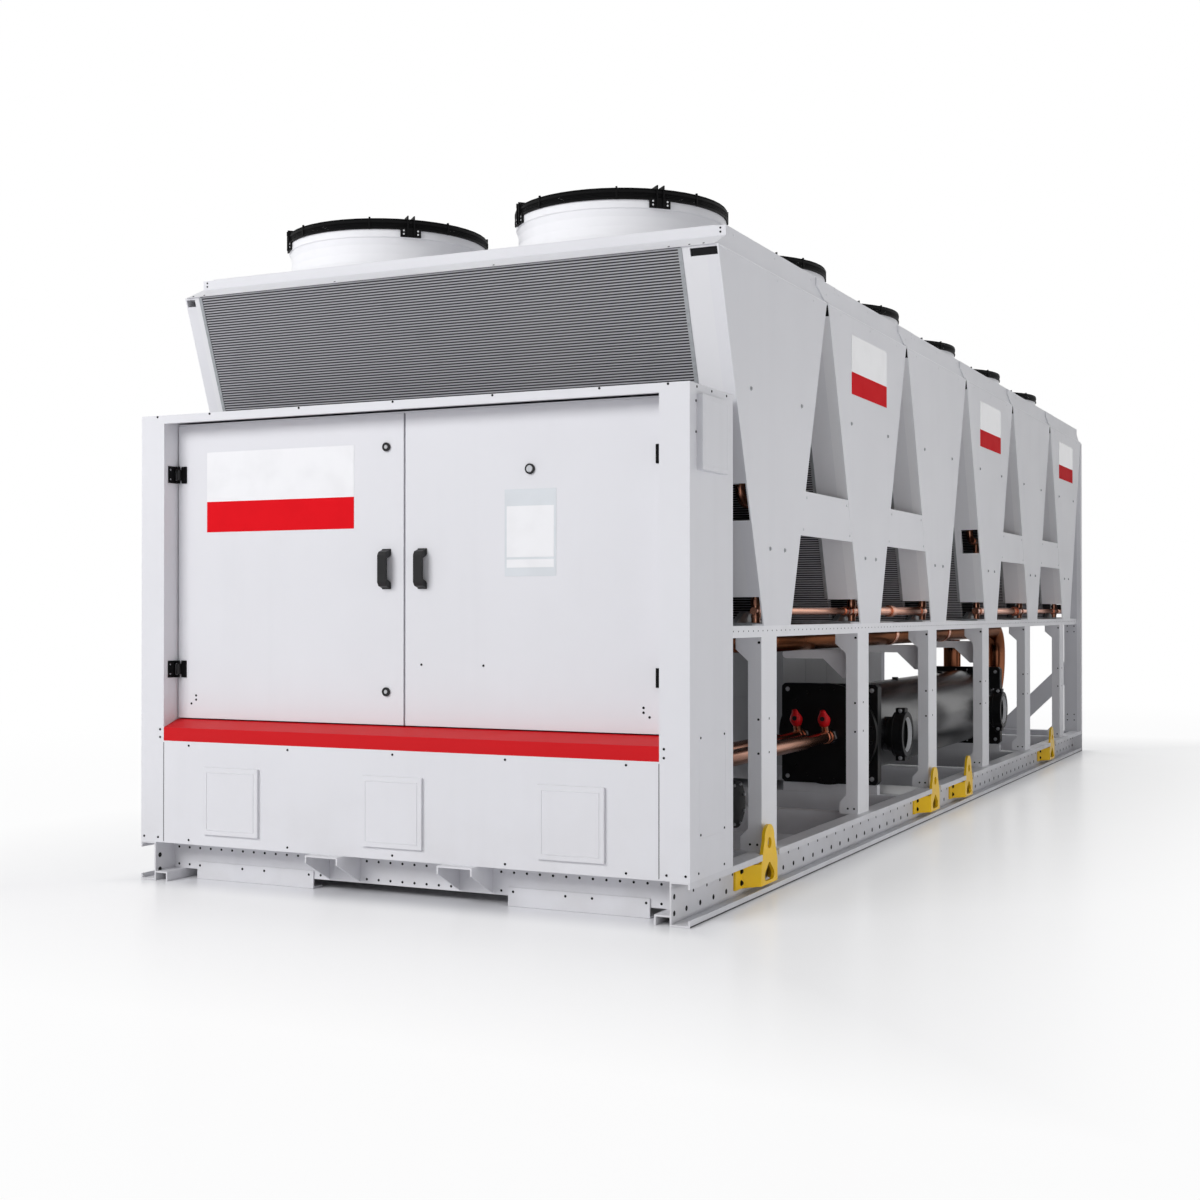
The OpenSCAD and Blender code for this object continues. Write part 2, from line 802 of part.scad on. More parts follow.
module fan_decks() {
  color(paint) seat() for (i = [0 : modules - 1]) translate([0, mid(i), 0]) fan_deck();
}

// covers over the joints between the decks
module deck_joint_covers() {
  color(paint) seat() both() for (i = [1 : modules - 1])
    translate([0, module_start + i * module_pitch, 0]) along_x(deck_half, deck_half + 5)
      polygon([[-deck_border - 20, deck_top - 2], [-deck_border - 20, deck_base + deck_slope],
               [10 - deck_border, deck_base + deck_slope - 10], [-26, deck_base + 8],
               [26, deck_base + 8], [deck_border - 10, deck_base + deck_slope - 10],
               [deck_border + 20, deck_base + deck_slope], [deck_border + 20, deck_top - 2]]);
}

// places a piece on every fan axis
module each_fan() {
  for (i = [0 : modules - 1]) for (x = [-fan_x, fan_x])
    translate([x, mid(i) + fan_offset, 0]) children();
}

module fan_shrouds() {
  r = fan_radius;
  b = rim_top - shroud_band;
  color(paint) seat() each_fan() rotate_extrude()
    polygon([[throat, deck_top], [r + 18, deck_top], [r - 2, deck_top + 25],
             [r - 9, deck_top + 58], [r - 9, deck_top + 92], [r - 4, b], [r, b + 4],
             [r, rim_top], [throat, rim_top]]);
}

// guard: rings on four twin-plate arms, with clips over the shroud rim
module fan_guard() {
  r = fan_radius;
  rotate_extrude() {
    plate([throat, rim_top], [r + 6, rim_top + 6]);
    plate([r - 4, guard_top - 16], [r + 6, guard_top - 8]);
    plate([180, guard_top - 16], [186, guard_top - 10]);
    plate([290, guard_top - 16], [296, guard_top - 10]);
  }
  translate([0, 0, rim_top + 6]) cylinder(r = 96, h = 10);
  for (a = [45 : 90 : 315]) rotate([0, 0, a]) {
    for (y = [-arm_gap / 2 - 5, arm_gap / 2]) {
      block([80, y, rim_top + 6], [r + 12, y + 5, guard_top]);
      block([r + 5, y, rim_top - 24], [r + 12, y + 5, guard_top]);
    }
    block([r, -clip_width / 2, rim_top - 28], [r + 6, clip_width / 2, rim_top + 8]);
  }
}

module fan_guards() {
  color(black) seat() each_fan() fan_guard();
}

// motor, hub and pitched blades, hung under the guard
module fan_rotor() {
  tip = throat - 12;
  span = sqrt(tip * tip - blade_chord * blade_chord / 4) - motor_radius;
  translate([0, 0, deck_top + 55]) cylinder(r = motor_radius, h = rim_top + 6 - deck_top - 55);
  translate([0, 0, deck_top + 5]) cylinder(r = motor_radius + 25, h = 51);
  for (k = [0 : blade_count - 1]) rotate([0, 0, 360 * k / blade_count])
    translate([motor_radius, 0, deck_top + 30]) rotate([24, 0, 0])
      translate([0, -blade_chord / 2, -3]) cube([span, blade_chord, 6]);
}

module fan_rotors() {
  color(zinc) seat() each_fan() fan_rotor();
}

// shell of the evaporator with its two water branches
module evaporator_shell() {
  color(black) seat() {
    pipe_y(evap_x, shell_z, evap_front + plate_thickness, evap_rear, shell_r);
    for (y = nozzle_ys) pipe_x(y, shell_z - 10, evap_x, nozzle_end, pipe_r);
  }
}

// square end plates of the evaporator, with a round head on the front one
module evaporator_plates() {
  s = plate_side / 2;
  c = plate_corner;
  color(black) seat() {
    for (y = [evap_front, evap_rear])
      along_y(y, y + plate_thickness) translate([evap_x, shell_z])
        polygon([[-s, c - s], [c - s, -s], [s - c, -s], [s, c - s],
                 [s, s - c], [s - c, s], [c - s, s], [-s, s - c]]);
    pipe_y(evap_x, shell_z, head_front, evap_front + 1, head_diameter / 2);
  }
}

// grooved couplings: one half grips the branch, the other is open, with a seal groove between
module water_couplings() {
  color(black) seat() for (y = nozzle_ys) translate([0, y, shell_z - 10]) difference() {
    union() {
      pipe_x(0, 0, coupling_face - coupling_length, coupling_face, pipe_r + coupling_wall);
      for (s = [-1, 1])
        block([coupling_face - coupling_length + 8, -26, s * (pipe_r + coupling_wall + 6) - 16],
              [coupling_face - 8, 26, s * (pipe_r + coupling_wall + 6) + 16]);
    }
    pipe_x(0, 0, coupling_face - coupling_length - 1, nozzle_end, pipe_r);
    pipe_x(0, 0, seal_from, seal_to, pipe_r + coupling_wall / 2);
    pipe_x(0, 0, seal_to - 1, coupling_face + 1, pipe_r + coupling_clear);
  }
}

// feet under the evaporator plates and saddles under the receiver
module vessel_feet() {
  color(frame_paint) seat() {
    for (y = [evap_front, evap_rear])
      block([evap_x - plate_side / 2 + 5, y + 5, rail_height],
            [evap_x + plate_side / 2 - 5, y + plate_thickness - 10, shell_z - plate_side / 2]);
    difference() {
      for (x = [receiver_start + saddle_inset, receiver_end - saddle_inset - 20])
        block([x, receiver_y - 30, rail_height], [x + 30, receiver_y + 30, receiver_z - 10]);
      pipe_x(receiver_y, receiver_z, 0, receiver_end, receiver_r);
    }
  }
}

// suction pipe from the rear of the evaporator, back over it, to the compressors
module suction_pipe_run(x, turn_y, drop, foot) {
  y_bend = evap_rear + plate_thickness + drop;
  y_top = y_bend + foot - suction_bend;
  pipe_y(x, shell_z, evap_rear + plate_thickness, y_bend, suction_r);
  translate([x, y_bend, shell_z + foot]) rotate([90, 0, 90]) rotate([0, 0, -90])
    bend(foot, suction_r);
  translate([x, y_bend + foot, shell_z + foot])
    cylinder(r = suction_r, h = suction_z - shell_z - foot - suction_bend);
  translate([x, y_top, suction_z - suction_bend]) rotate([90, 0, 90])
    bend(suction_bend, suction_r);
  pipe_y(x, suction_z, turn_y, y_top, suction_r);
  translate([x - suction_bend, turn_y, suction_z]) rotate([0, 0, -90]) bend(suction_bend, suction_r);
  pipe_x(turn_y - suction_bend, suction_z, -260, x - suction_bend, suction_r);
  translate([-260, turn_y - suction_bend, enclosure_top]) rotate([90, 0, 0]) rotate([0, 0, 90])
    bend(drop_bend, suction_r);
}

module suction_pipes() {
  color(copper) seat() for (i = [0, 1])
    suction_pipe_run(suction_xs[i], suction_turns[i], suction_drops[i], suction_feet[i]);
}

// liquid lines from the compressor side to the front head of the evaporator, with valve stems
module liquid_lines() {
  color(copper) seat() for (i = [0, 1]) {
    pipe_y(liquid_xs[i], liquid_z, liquid_turns[i], head_front, liquid_r);
    pipe_y(liquid_xs[i], liquid_z, liquid_turns[i] + 60, sleeve_end, liquid_sleeve / 2);
    translate([liquid_xs[i] - liquid_bend, liquid_turns[i], liquid_z]) rotate([0, 0, -90])
      bend(liquid_bend, liquid_r);
    pipe_x(liquid_turns[i] - liquid_bend, liquid_z, enclosure_right, liquid_xs[i] - liquid_bend,
           liquid_r);
    translate([liquid_xs[i], valve_y, liquid_z]) rotate([valve_lean, 0, 0])
      cylinder(d = valve_stem, h = liquid_r + 38);
  }
}

// red caps on the valve stems
module valve_caps() {
  color(red_paint) seat() for (x = liquid_xs)
    translate([x, valve_y, liquid_z]) rotate([valve_lean, 0, 0])
      translate([0, 0, liquid_r + 38]) {
        cylinder(d = valve_cap, h = valve_cap_height * 0.62);
        cylinder(d = valve_cap * 0.6, h = valve_cap_height);
      }
}

// manifolds along the right foot of the coils, one to three modules, with a riser in the middle of each
// module that parts to the headers of its two coils
module coil_manifolds() {
  color(copper) seat() for (g = [0, 3]) {
    // wider towards the middle of the machine
    pipe_y(manifold_x, manifold_z, mid(g) - 25, mid(g + 1),
           (g == 0 ? branch_pipe : manifold_pipe) / 2);
    pipe_y(manifold_x, manifold_z, mid(g + 1) - 20, mid(g + 2) + 25,
           (g == 0 ? manifold_pipe : branch_pipe) / 2);
    for (i = [g : g + 2]) {
      translate([manifold_x, mid(i), tray_top])
        cylinder(d = riser_pipe, h = branch_z - tray_top);
      pipe_y(manifold_x, branch_z, mid(i) - header_reach + header_bend,
             mid(i) + header_reach - header_bend, header_pipe / 2);
      for (s = [-1, 1]) translate([manifold_x, mid(i), branch_z + header_bend]) {
        translate([0, s * (header_reach - header_bend), 0]) rotate([90, 0, 90])
          rotate([0, 0, s < 0 ? 180 : -90]) bend(header_bend, header_pipe / 2);
        translate([0, s * header_reach, 0]) cylinder(d = header_pipe, h = header_length);
      }
    }
  }
}

// closed acoustic enclosures of the compressors, each with a seam groove
module compressor_enclosures() {
  x0 = 30 + enclosure_gap - post_in;
  x1 = enclosure_right;
  color(zinc) seat() for (y = [front_enclosure, rear_enclosure]) translate([0, y, 0]) {
    block([x0, 0, rail_height], [x1, enclosure_length, seam_z - 4]);
    block([x0 + 6, 6, seam_z - 5], [x1 - 6, enclosure_length - 6, seam_z + 5]);
    block([x0, 0, seam_z + 4], [x1, enclosure_length, enclosure_top]);
  }
}

// receiver lying across the machine behind the cabinet, with a bolted end flange
module liquid_receiver() {
  color(black) seat() {
    pipe_x(receiver_y, receiver_z, receiver_start, receiver_end - 20, receiver_r);
    pipe_x(receiver_y, receiver_z, receiver_end - 40, receiver_end, receiver_flange / 2);
  }
}

base_rails();
base_cross_beams();
front_foot_plates();
front_brackets();
lifting_lugs();
cabinet_floor();
cabinet_columns();
cabinet_roof();
cabinet_back();
mounting_plate();
lower_panel();
sill_band();
hinge_brackets();
left_door();
left_door_fittings();
right_door();
right_door_fittings();
posts_left();
posts_right();
upper_beams();
pipe_arms();
rear_frame();
rear_panel();
v_panels_left();
v_panels_right();
bridge_plates();
coil_trays();
coils_front();
coils_rear();
coil_covers();
fan_decks();
deck_joint_covers();
fan_shrouds();
fan_guards();
fan_rotors();
evaporator_shell();
evaporator_plates();
water_couplings();
vessel_feet();
suction_pipes();
liquid_lines();
valve_caps();
coil_manifolds();
compressor_enclosures();
liquid_receiver();
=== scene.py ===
"""Looks of an air cooled water chiller: paint, coils, fan guards, fasteners, floor, light and camera."""

import json
import math

import bmesh
import bpy
from mathutils import Matrix, Vector

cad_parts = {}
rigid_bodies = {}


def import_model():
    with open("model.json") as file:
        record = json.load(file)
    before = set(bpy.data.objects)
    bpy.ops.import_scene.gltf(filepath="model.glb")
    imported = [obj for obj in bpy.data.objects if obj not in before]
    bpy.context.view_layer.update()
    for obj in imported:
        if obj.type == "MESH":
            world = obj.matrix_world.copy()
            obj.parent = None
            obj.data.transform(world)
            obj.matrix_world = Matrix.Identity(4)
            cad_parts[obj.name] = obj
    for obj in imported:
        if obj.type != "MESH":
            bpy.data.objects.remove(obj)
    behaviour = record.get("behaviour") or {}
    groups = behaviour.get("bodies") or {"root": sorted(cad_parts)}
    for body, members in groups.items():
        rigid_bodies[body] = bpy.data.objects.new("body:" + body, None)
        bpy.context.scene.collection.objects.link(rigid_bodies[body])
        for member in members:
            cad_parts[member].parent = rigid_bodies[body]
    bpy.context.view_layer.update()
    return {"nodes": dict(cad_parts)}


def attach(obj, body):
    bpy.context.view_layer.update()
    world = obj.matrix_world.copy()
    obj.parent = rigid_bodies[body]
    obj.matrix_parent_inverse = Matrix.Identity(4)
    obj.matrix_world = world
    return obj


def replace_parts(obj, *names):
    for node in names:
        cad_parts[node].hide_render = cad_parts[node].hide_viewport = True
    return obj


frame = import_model()
scene = bpy.context.scene
scene.view_settings.view_transform = "Standard"

# The cabinet's front plane in the model's frame, in metres. Places below are in millimetres, and their
# y runs back from that plane.
FRONT_Y = -3.728

# the row of condenser modules, with their leaning side panels
MODULES = 6
PITCH = 1202
FIRST_MID = 841
MIDS = [FIRST_MID + PITCH * i for i in range(MODULES)]
SEAMS = [mid + PITCH / 2 for mid in MIDS[:-1]]
FIRST_MID_DEPTH = FRONT_Y + FIRST_MID / 1000
LEAN = 0.34705
PANEL_FOOT, PANEL_FOOT_HALF = 967, 146

# the fans on the decks
DECK_TOP = 2340
RIM_TOP = 2489
GUARD_TOP = 2530
FAN_X, FAN_OFFSET = 524, -60
FANS = [(x, mid + FAN_OFFSET) for mid in MIDS for x in (-FAN_X, FAN_X)]
RIBS, FIRST_RIB = 8, math.radians(22.5)

# faces and heights of the cabinet and the frame
SIDE = 1130
DOOR_FACE = 78
HINGE_ZS, HINGE_HALF = (799, 1539), 32
LOCK_X, LOCK_ZS = -75, (731, 1607)
RAIL_OUTSIDE, RAIL_INSIDE = 1065, 1059
POST_SIDE, POST_HALF = 1097, 82
REAR_POST_FRONT, REAR_POST_BACK = 7456, 7496
LUG_YS = (770, 3195, 3920, 6340)

# evaporator, pipes and compressor enclosures
VESSEL_X, VESSEL_Z = 725, 430
FRONT_PLATE, REAR_PLATE = (2727, 2787), (5449, 5509)
COUPLING_YS, COUPLING_Z = (2971.9, 5189.5), 420
LINE_XS, LINE_Z = (605, 743), 420
MANIFOLD_X, MANIFOLD_Z = 1045, 1020
ENCLOSURE_YS = (420, 3960)

BOTH = (-1, 1)
RIGHT, LEFT, FORWARD, BACK, UP = (1, 0, 0), (-1, 0, 0), (0, -1, 0), (0, 1, 0), (0, 0, 1)


def half_at(z):
    """Half the width of a side panel at a height."""
    return PANEL_FOOT_HALF + (z - PANEL_FOOT) * LEAN


def place(x, y, z):
    """A point in the model's frame, in metres."""
    return Vector((x / 1000, y / 1000 + FRONT_Y, z / 1000))


def srgb(r, g, b):
    """A screen colour as a shader colour."""
    def channel(v):
        v /= 255
        return v / 12.92 if v <= 0.04045 else ((v + 0.055) / 1.055) ** 2.4
    return (channel(r), channel(g), channel(b), 1)


# ---------------------------------------------------------------- finishes

class Value:
    """One socket of a shader; arithmetic on it adds Math nodes."""

    def __init__(self, finish, socket):
        self.finish, self.socket = finish, socket

    def _math(self, operation, *values):
        return self.finish.node("ShaderNodeMath", {"operation": operation}, dict(enumerate(values)))

    def __add__(self, other):
        return self._math("ADD", self, other)

    def __sub__(self, other):
        return self._math("SUBTRACT", self, other)

    def __rsub__(self, other):
        return self._math("SUBTRACT", other, self)

    def __mul__(self, other):
        return self._math("MULTIPLY", self, other)

    def __truediv__(self, other):
        return self._math("DIVIDE", self, other)

    def __gt__(self, other):
        return self._math("GREATER_THAN", self, other)

    def __lt__(self, other):
        return self._math("LESS_THAN", self, other)

    def __abs__(self):
        return self._math("ABSOLUTE", self)

    __radd__ = __add__
    __rmul__ = __mul__

    def fraction(self):
        return self._math("FRACT", self)

    def most(self, other):
        return self._math("MAXIMUM", self, other)

    def step(self, low, high, smooth=True):
        """0 below low, 1 above high."""
        kind = "SMOOTHSTEP" if smooth else "LINEAR"
        return self.finish.node("ShaderNodeMapRange", {"interpolation_type": kind, "clamp": True},
                                {"Value": self, "From Min": low, "From Max": high})


class Finish:
    """A node tree under construction, of a material or the world."""

    def __init__(self, owner):
        owner.use_nodes = True
        self.owner, self.tree = owner, owner.node_tree
        self.shader = self.tree.nodes.get("Principled BSDF")

    def node(self, kind, settings, sockets, out=0):
        n = self.tree.nodes.new(kind)
        for key, value in settings.items():
            setattr(n, key, value)
        for key, value in sockets.items():
            if isinstance(value, Value):
                self.tree.links.new(value.socket, n.inputs[key])
            else:
                n.inputs[key].default_value = value
        return Value(self, n.outputs[out])

    def where(self):
        return self.node("ShaderNodeTexCoord", {}, {}, "Object")

    def axes(self):
        n = self.node("ShaderNodeSeparateXYZ", {}, {0: self.where()}).socket.node
        return [Value(self, n.outputs[k]) for k in range(3)]

    def noise(self, scale, detail=3, stretch=(1, 1, 1), roughness=0.5):
        at = self.node("ShaderNodeVectorMath", {"operation": "MULTIPLY"}, {0: self.where(), 1: stretch})
        return self.node("ShaderNodeTexNoise", {}, {"Vector": at, "Scale": scale, "Detail": detail,
                                                    "Roughness": roughness})

    def cells(self, scale):
        return self.node("ShaderNodeTexVoronoi", {}, {"Vector": self.where(), "Scale": scale}, "Color")

    def blend(self, mask, a, b):
        """Colour a where the mask is 0, colour b where it is 1."""
        return self.node("ShaderNodeMix", {"data_type": "RGBA"}, {0: mask, 6: a, 7: b}, 2)

    def bump(self, height, strength, distance):
        return self.node("ShaderNodeBump", {}, {"Height": height, "Strength": strength,
                                                "Distance": distance})

    def dress(self, **inputs):
        """Sets or links the shader's sockets and gives the finished owner."""
        for key, value in inputs.items():
            socket = self.shader.inputs[key.replace("_", " ").title().replace("Ior", "IOR")]
            if isinstance(value, Value):
                self.tree.links.new(value.socket, socket)
            else:
                socket.default_value = value
        return self.owner


def new_finish(name):
    return Finish(bpy.data.materials.new(name))


def tint(colour, share):
    """A colour made darker or lighter."""
    return tuple(min(1, c * share) for c in colour[:3]) + (1,)


def powder_coat(name, colour, roughness=0.36, grime=0.5, peel=0.05, shine=0.45, front=None):
    """Baked powder paint: fine orange peel, faint clouding, rain streaks and dust near the ground.
    Where front is given, the paint before that depth is darker, a painted shade."""
    f = new_finish(name)
    _, y, z = f.axes()
    cloud = f.noise(1.7, 4)
    streak = f.noise(9, 3, (1, 1, 0.06)).step(0.5, 0.8)
    dust = (1 - z.step(0.0, 0.55)) * f.noise(5, 5).step(0.35, 0.75)
    base = f.blend(cloud.step(0.3, 0.75) * 0.6, colour, tint(colour, 0.955))
    base = f.blend(streak * (0.16 * grime), base, tint(colour, 0.72))
    base = f.blend(dust * (0.22 * grime), base, srgb(166, 160, 150))
    if front is not None:
        # painted shade: the same paint darker before the front depth
        base = f.blend(y < front, base, tint(colour, 0.85))
    grain = f.noise(420, 2)
    return f.dress(base_color=base, roughness=f.noise(6, 4) * 0.16 + (roughness - 0.08) + dust * 0.1,
                   normal=f.bump(grain, peel, 0.0006), specular_ior_level=shine)


def satin_black(name, colour, roughness, grain_scale, grain, shine=0.4):
    """Dark paint or moulded plastic with a fine pebble and paler rubbed patches."""
    f = new_finish(name)
    rub = f.noise(14, 5).step(0.52, 0.8)
    base = f.blend(rub * 0.35, colour, tint(colour, 1.9))
    pebble = f.noise(grain_scale, 3)
    return f.dress(base_color=base, roughness=f.noise(30, 3) * 0.18 + (roughness - 0.09),
                   normal=f.bump(pebble, grain, 0.0006), specular_ior_level=shine)


def bright_metal(name, colour, dull, roughness, rim=(1, 1, 1, 1)):
    """Plated or drawn metal with a faint dull bloom; rim tints the reflections at flat angles."""
    f = new_finish(name)
    bloom = f.noise(6, 3).step(0.42, 0.78)
    fine = f.noise(160, 3)
    return f.dress(base_color=f.blend(bloom * 0.3, colour, dull), metallic=1.0,
                   roughness=bloom * 0.06 + fine * 0.04 + (roughness - 0.03),
                   normal=f.bump(fine, 0.02, 0.0002), specular_tint=rim)


def spangled_zinc(name, colour):
    """Hot dip zinc: a patchwork of crystals."""
    f = new_finish(name)
    patch = f.node("ShaderNodeSeparateColor", {}, {0: f.cells(70)})
    cloud = f.noise(3, 4)
    base = f.blend(patch * 0.8, tint(colour, 0.84), tint(colour, 1.1))
    base = f.blend(cloud.step(0.45, 0.8) * 0.35, base, tint(colour, 0.78))
    return f.dress(base_color=base, metallic=0.55, roughness=patch * 0.16 + 0.38,
                   normal=f.bump(f.noise(90, 3), 0.05, 0.0005))


def yellow_enamel(name, colour):
    """Brushed safety paint, scuffed through to grey primer in small spots."""
    f = new_finish(name)
    scuff = f.noise(38, 6, roughness=0.66).step(0.66, 0.72)
    brush = f.noise(60, 3, (1, 1, 0.2))
    base = f.blend(f.noise(8, 4).step(0.4, 0.75) * 0.5, colour, tint(colour, 0.86))
    base = f.blend(scuff * 0.8, base, srgb(138, 134, 122))
    return f.dress(base_color=base, roughness=brush * 0.15 + 0.3 + scuff * 0.2,
                   normal=f.bump(brush - scuff * 0.6, 0.12, 0.0007))


def finned_coil(name, tube_pitch=0.00942, fin_pitch=0.0024):
    """Flat tubes with louvred fins between them: pale tube edges over fin gaps darkened as painted shade.
    """
    f = new_finish(name)
    x, _, z = f.axes()
    tube_edge = abs((z / tube_pitch).fraction() - 0.5) * 2
    lit = tube_edge.step(0.34, 0.72)
    fin = abs((x / fin_pitch).fraction() - 0.5) * 2
    bent = f.noise(7, 5).step(0.55, 0.8)
    # painted shade: the gaps between the fins near-black, where the coil's depth lies in shade
    dark = f.blend(fin.step(0.3, 0.8), srgb(10, 10, 12), srgb(34, 34, 38))
    pale = f.blend(bent * 0.5, srgb(178, 178, 182), srgb(152, 152, 156))
    dust = f.noise(2.2, 4).step(0.4, 0.8)
    base = f.blend(lit, dark, pale)
    base = f.blend(dust * 0.06, base, srgb(150, 146, 138))
    return f.dress(base_color=base, roughness=0.62 - lit * 0.18, metallic=lit * 0.25,
                   normal=f.bump(lit, 0.35, 0.003))


def wrapped_shell(name, nozzle_from=0.955, seam_half=0.0022):
    """Dark closed cell jacket of the evaporator, with a glued sheet seam at every metre, and the blacker
    ends of its nozzles."""
    f = new_finish(name)
    x, y, _ = f.axes()
    seam = abs(y.fraction() - 0.5) < seam_half
    nozzle = x > nozzle_from
    soft = f.noise(6, 4)
    base = f.blend(soft.step(0.35, 0.75), srgb(20, 20, 22), srgb(30, 30, 32))
    base = f.blend(seam * 0.7, base, srgb(12, 12, 13))
    base = f.blend(nozzle, base, srgb(9, 9, 10))
    return f.dress(base_color=base, roughness=f.noise(24, 3) * 0.06 + 0.19 + nozzle * 0.25,
                   specular_ior_level=0.28,
                   normal=f.bump(f.noise(240, 3) * 0.2 + soft * 0.5 - seam, 0.12, 0.0012))


def bare_sheet(name, colour, roughness, shine):
    """Thin printed sheet with nothing on it: slight haze and fine weave of the laminate."""
    f = new_finish(name)
    haze = f.noise(9, 4)
    weave = f.noise(700, 1)
    return f.dress(base_color=f.blend(haze.step(0.4, 0.75), colour, tint(colour, 0.95)),
                   roughness=haze * 0.14 + roughness, normal=f.bump(weave, 0.03, 0.0003),
                   specular_ior_level=shine)


def frosted_port(name):
    """Hazy lens of the round port in the right door."""
    f = new_finish(name)
    haze = f.noise(40, 3)
    return f.dress(base_color=f.blend(haze, srgb(176, 178, 182), srgb(206, 208, 212)),
                   roughness=haze * 0.1 + 0.16, coat_weight=0.6)


PANEL = powder_coat("panel_paint", srgb(227, 227, 231))
# a paler copy of the panel paint: painted light on the fan shrouds and the panels' top lips
LIT_PANEL = powder_coat("panel_paint_painted_light", srgb(244, 244, 247))
# coil covers: a paler copy of the panel paint as painted light, darker before the first module's middle
# as painted shade
COVER = powder_coat("cover_paint", srgb(244, 244, 247), front=FIRST_MID_DEPTH)
# a still paler copy of the panel paint: painted highlight on the panels' turned edges
EDGE = powder_coat("turned_edge_painted_light", srgb(251, 251, 253))
FRAME = powder_coat("frame_paint", srgb(222, 222, 226), roughness=0.42, grime=0.8, peel=0.07)
POST = powder_coat("post_paint", srgb(238, 238, 241), roughness=0.42, grime=0.6, peel=0.07)
HOUSING = powder_coat("enclosure_paint", srgb(176, 177, 180), roughness=0.5, grime=0.7, peel=0.06)
RED = powder_coat("red_paint", srgb(205, 12, 22), roughness=0.45, grime=0.25, shine=0.3)
YELLOW = yellow_enamel("yellow_paint", srgb(255, 206, 8))
BLACK = satin_black("guard_black", srgb(11, 11, 12), 0.56, grain_scale=300, grain=0.08, shine=0.12)
VESSEL = satin_black("vessel_black", srgb(12, 12, 13), 0.42, grain_scale=220, grain=0.1, shine=0.2)
PLASTIC = satin_black("moulded_black", srgb(24, 24, 25), 0.5, grain_scale=900, grain=0.16)
SHELL = wrapped_shell("shell_jacket")
COIL = finned_coil("coil_fins")
COPPER = bright_metal("drawn_copper", srgb(232, 166, 136), srgb(190, 128, 100), 0.24)
# copper darkened as painted shade for the suction pipes, with its reflections dulled to match
SHADED_COPPER = bright_metal("copper_painted_shade", srgb(134, 84, 60), srgb(104, 62, 42), 0.24,
                            rim=(0.62, 0.5, 0.44, 1))
# copper of the liquid lines, darkened as painted shade
LINE_COPPER = bright_metal("line_copper_painted_shade", srgb(184, 128, 102), srgb(140, 92, 70), 0.22)
PLATED = bright_metal("plated_steel", srgb(206, 207, 210), srgb(158, 159, 160), 0.32)
ZINC = spangled_zinc("zinc_sheet", srgb(176, 179, 182))
BLADE = satin_black("blade_grey", srgb(58, 59, 62), 0.46, grain_scale=260, grain=0.08)
# near-black: dark screw heads and dark joints, and painted shade in punched holes and slots
BLACK_AND_SHADE = satin_black("black_and_painted_shade", srgb(17, 17, 19), 0.85, grain_scale=500, grain=0.05)
WHITE_SHEET = bare_sheet("white_sheet", srgb(241, 241, 243), 0.3, shine=0.5)
PLATE_SHEET = bare_sheet("plate_white", srgb(253, 253, 254), 0.06, shine=1.0)
RED_SHEET = bare_sheet("red_sheet", srgb(224, 22, 32), 0.6, shine=0.08)
PALE_SHEET = bare_sheet("pale_sheet", srgb(218, 222, 226), 0.3, shine=0.4)
PORT = frosted_port("port_lens")

NODE_FINISH = {
    PANEL: ("cabinet_floor", "cabinet_columns", "cabinet_roof", "cabinet_back", "lower_panel",
            "left_door", "right_door", "rear_panel", "v_panels_left", "v_panels_right",
            "bridge_plates", "fan_decks", "deck_joint_covers"),
    LIT_PANEL: ("fan_shrouds",),
    COVER: ("coil_covers",),
    FRAME: ("base_rails", "base_cross_beams", "front_foot_plates", "front_brackets", "rear_frame",
            "vessel_feet"),
    POST: ("posts_left", "posts_right", "upper_beams", "pipe_arms"),
    RED: ("sill_band", "valve_caps"),
    YELLOW: ("lifting_lugs",),
    BLACK: ("fan_guards", "hinge_brackets"),
    PLASTIC: ("left_door_fittings", "right_door_fittings"),
    VESSEL: ("evaporator_plates", "water_couplings", "liquid_receiver"),
    SHELL: ("evaporator_shell",),
    COIL: ("coils_front", "coils_rear"),
    COPPER: ("coil_manifolds",),
    SHADED_COPPER: ("suction_pipes",),
    LINE_COPPER: ("liquid_lines",),
    ZINC: ("mounting_plate", "coil_trays"),
    HOUSING: ("compressor_enclosures",),
    BLADE: ("fan_rotors",),
}
for node_finish, node_names in NODE_FINISH.items():
    for node_name in node_names:
        node_mesh = frame["nodes"][node_name].data
        node_mesh.materials.clear()
        node_mesh.materials.append(node_finish)


# ---------------------------------------------------------------- making pieces

def settle(obj, body):
    """A finished mesh joins the part."""
    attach(obj, body)
    return obj


def add_object(name, data):
    obj = bpy.data.objects.new(name, data)
    scene.collection.objects.link(obj)
    return obj


def keep_result(obj, modifier):
    """A modifier's result becomes the object's own plain mesh."""
    bpy.context.view_layer.update()
    made = bpy.data.meshes.new_from_object(obj.evaluated_get(bpy.context.evaluated_depsgraph_get()))
    obj.modifiers.remove(modifier)
    obj.data = made
    return made


def from_bmesh(name, bm, finish, body="chassis", smooth=False):
    """A bmesh drawn in millimetres from the front plane becomes a piece."""
    bmesh.ops.remove_doubles(bm, verts=bm.verts, dist=0.01)
    bmesh.ops.recalc_face_normals(bm, faces=bm.faces)
    bm.transform(Matrix.Translation((0, FRONT_Y, 0)) @ Matrix.Scale(0.001, 4))
    mesh = bpy.data.meshes.new(name)
    bm.to_mesh(mesh)
    bm.free()
    for polygon in mesh.polygons:
        polygon.use_smooth = smooth
    mesh.materials.append(finish)
    return settle(add_object(name, mesh), body)


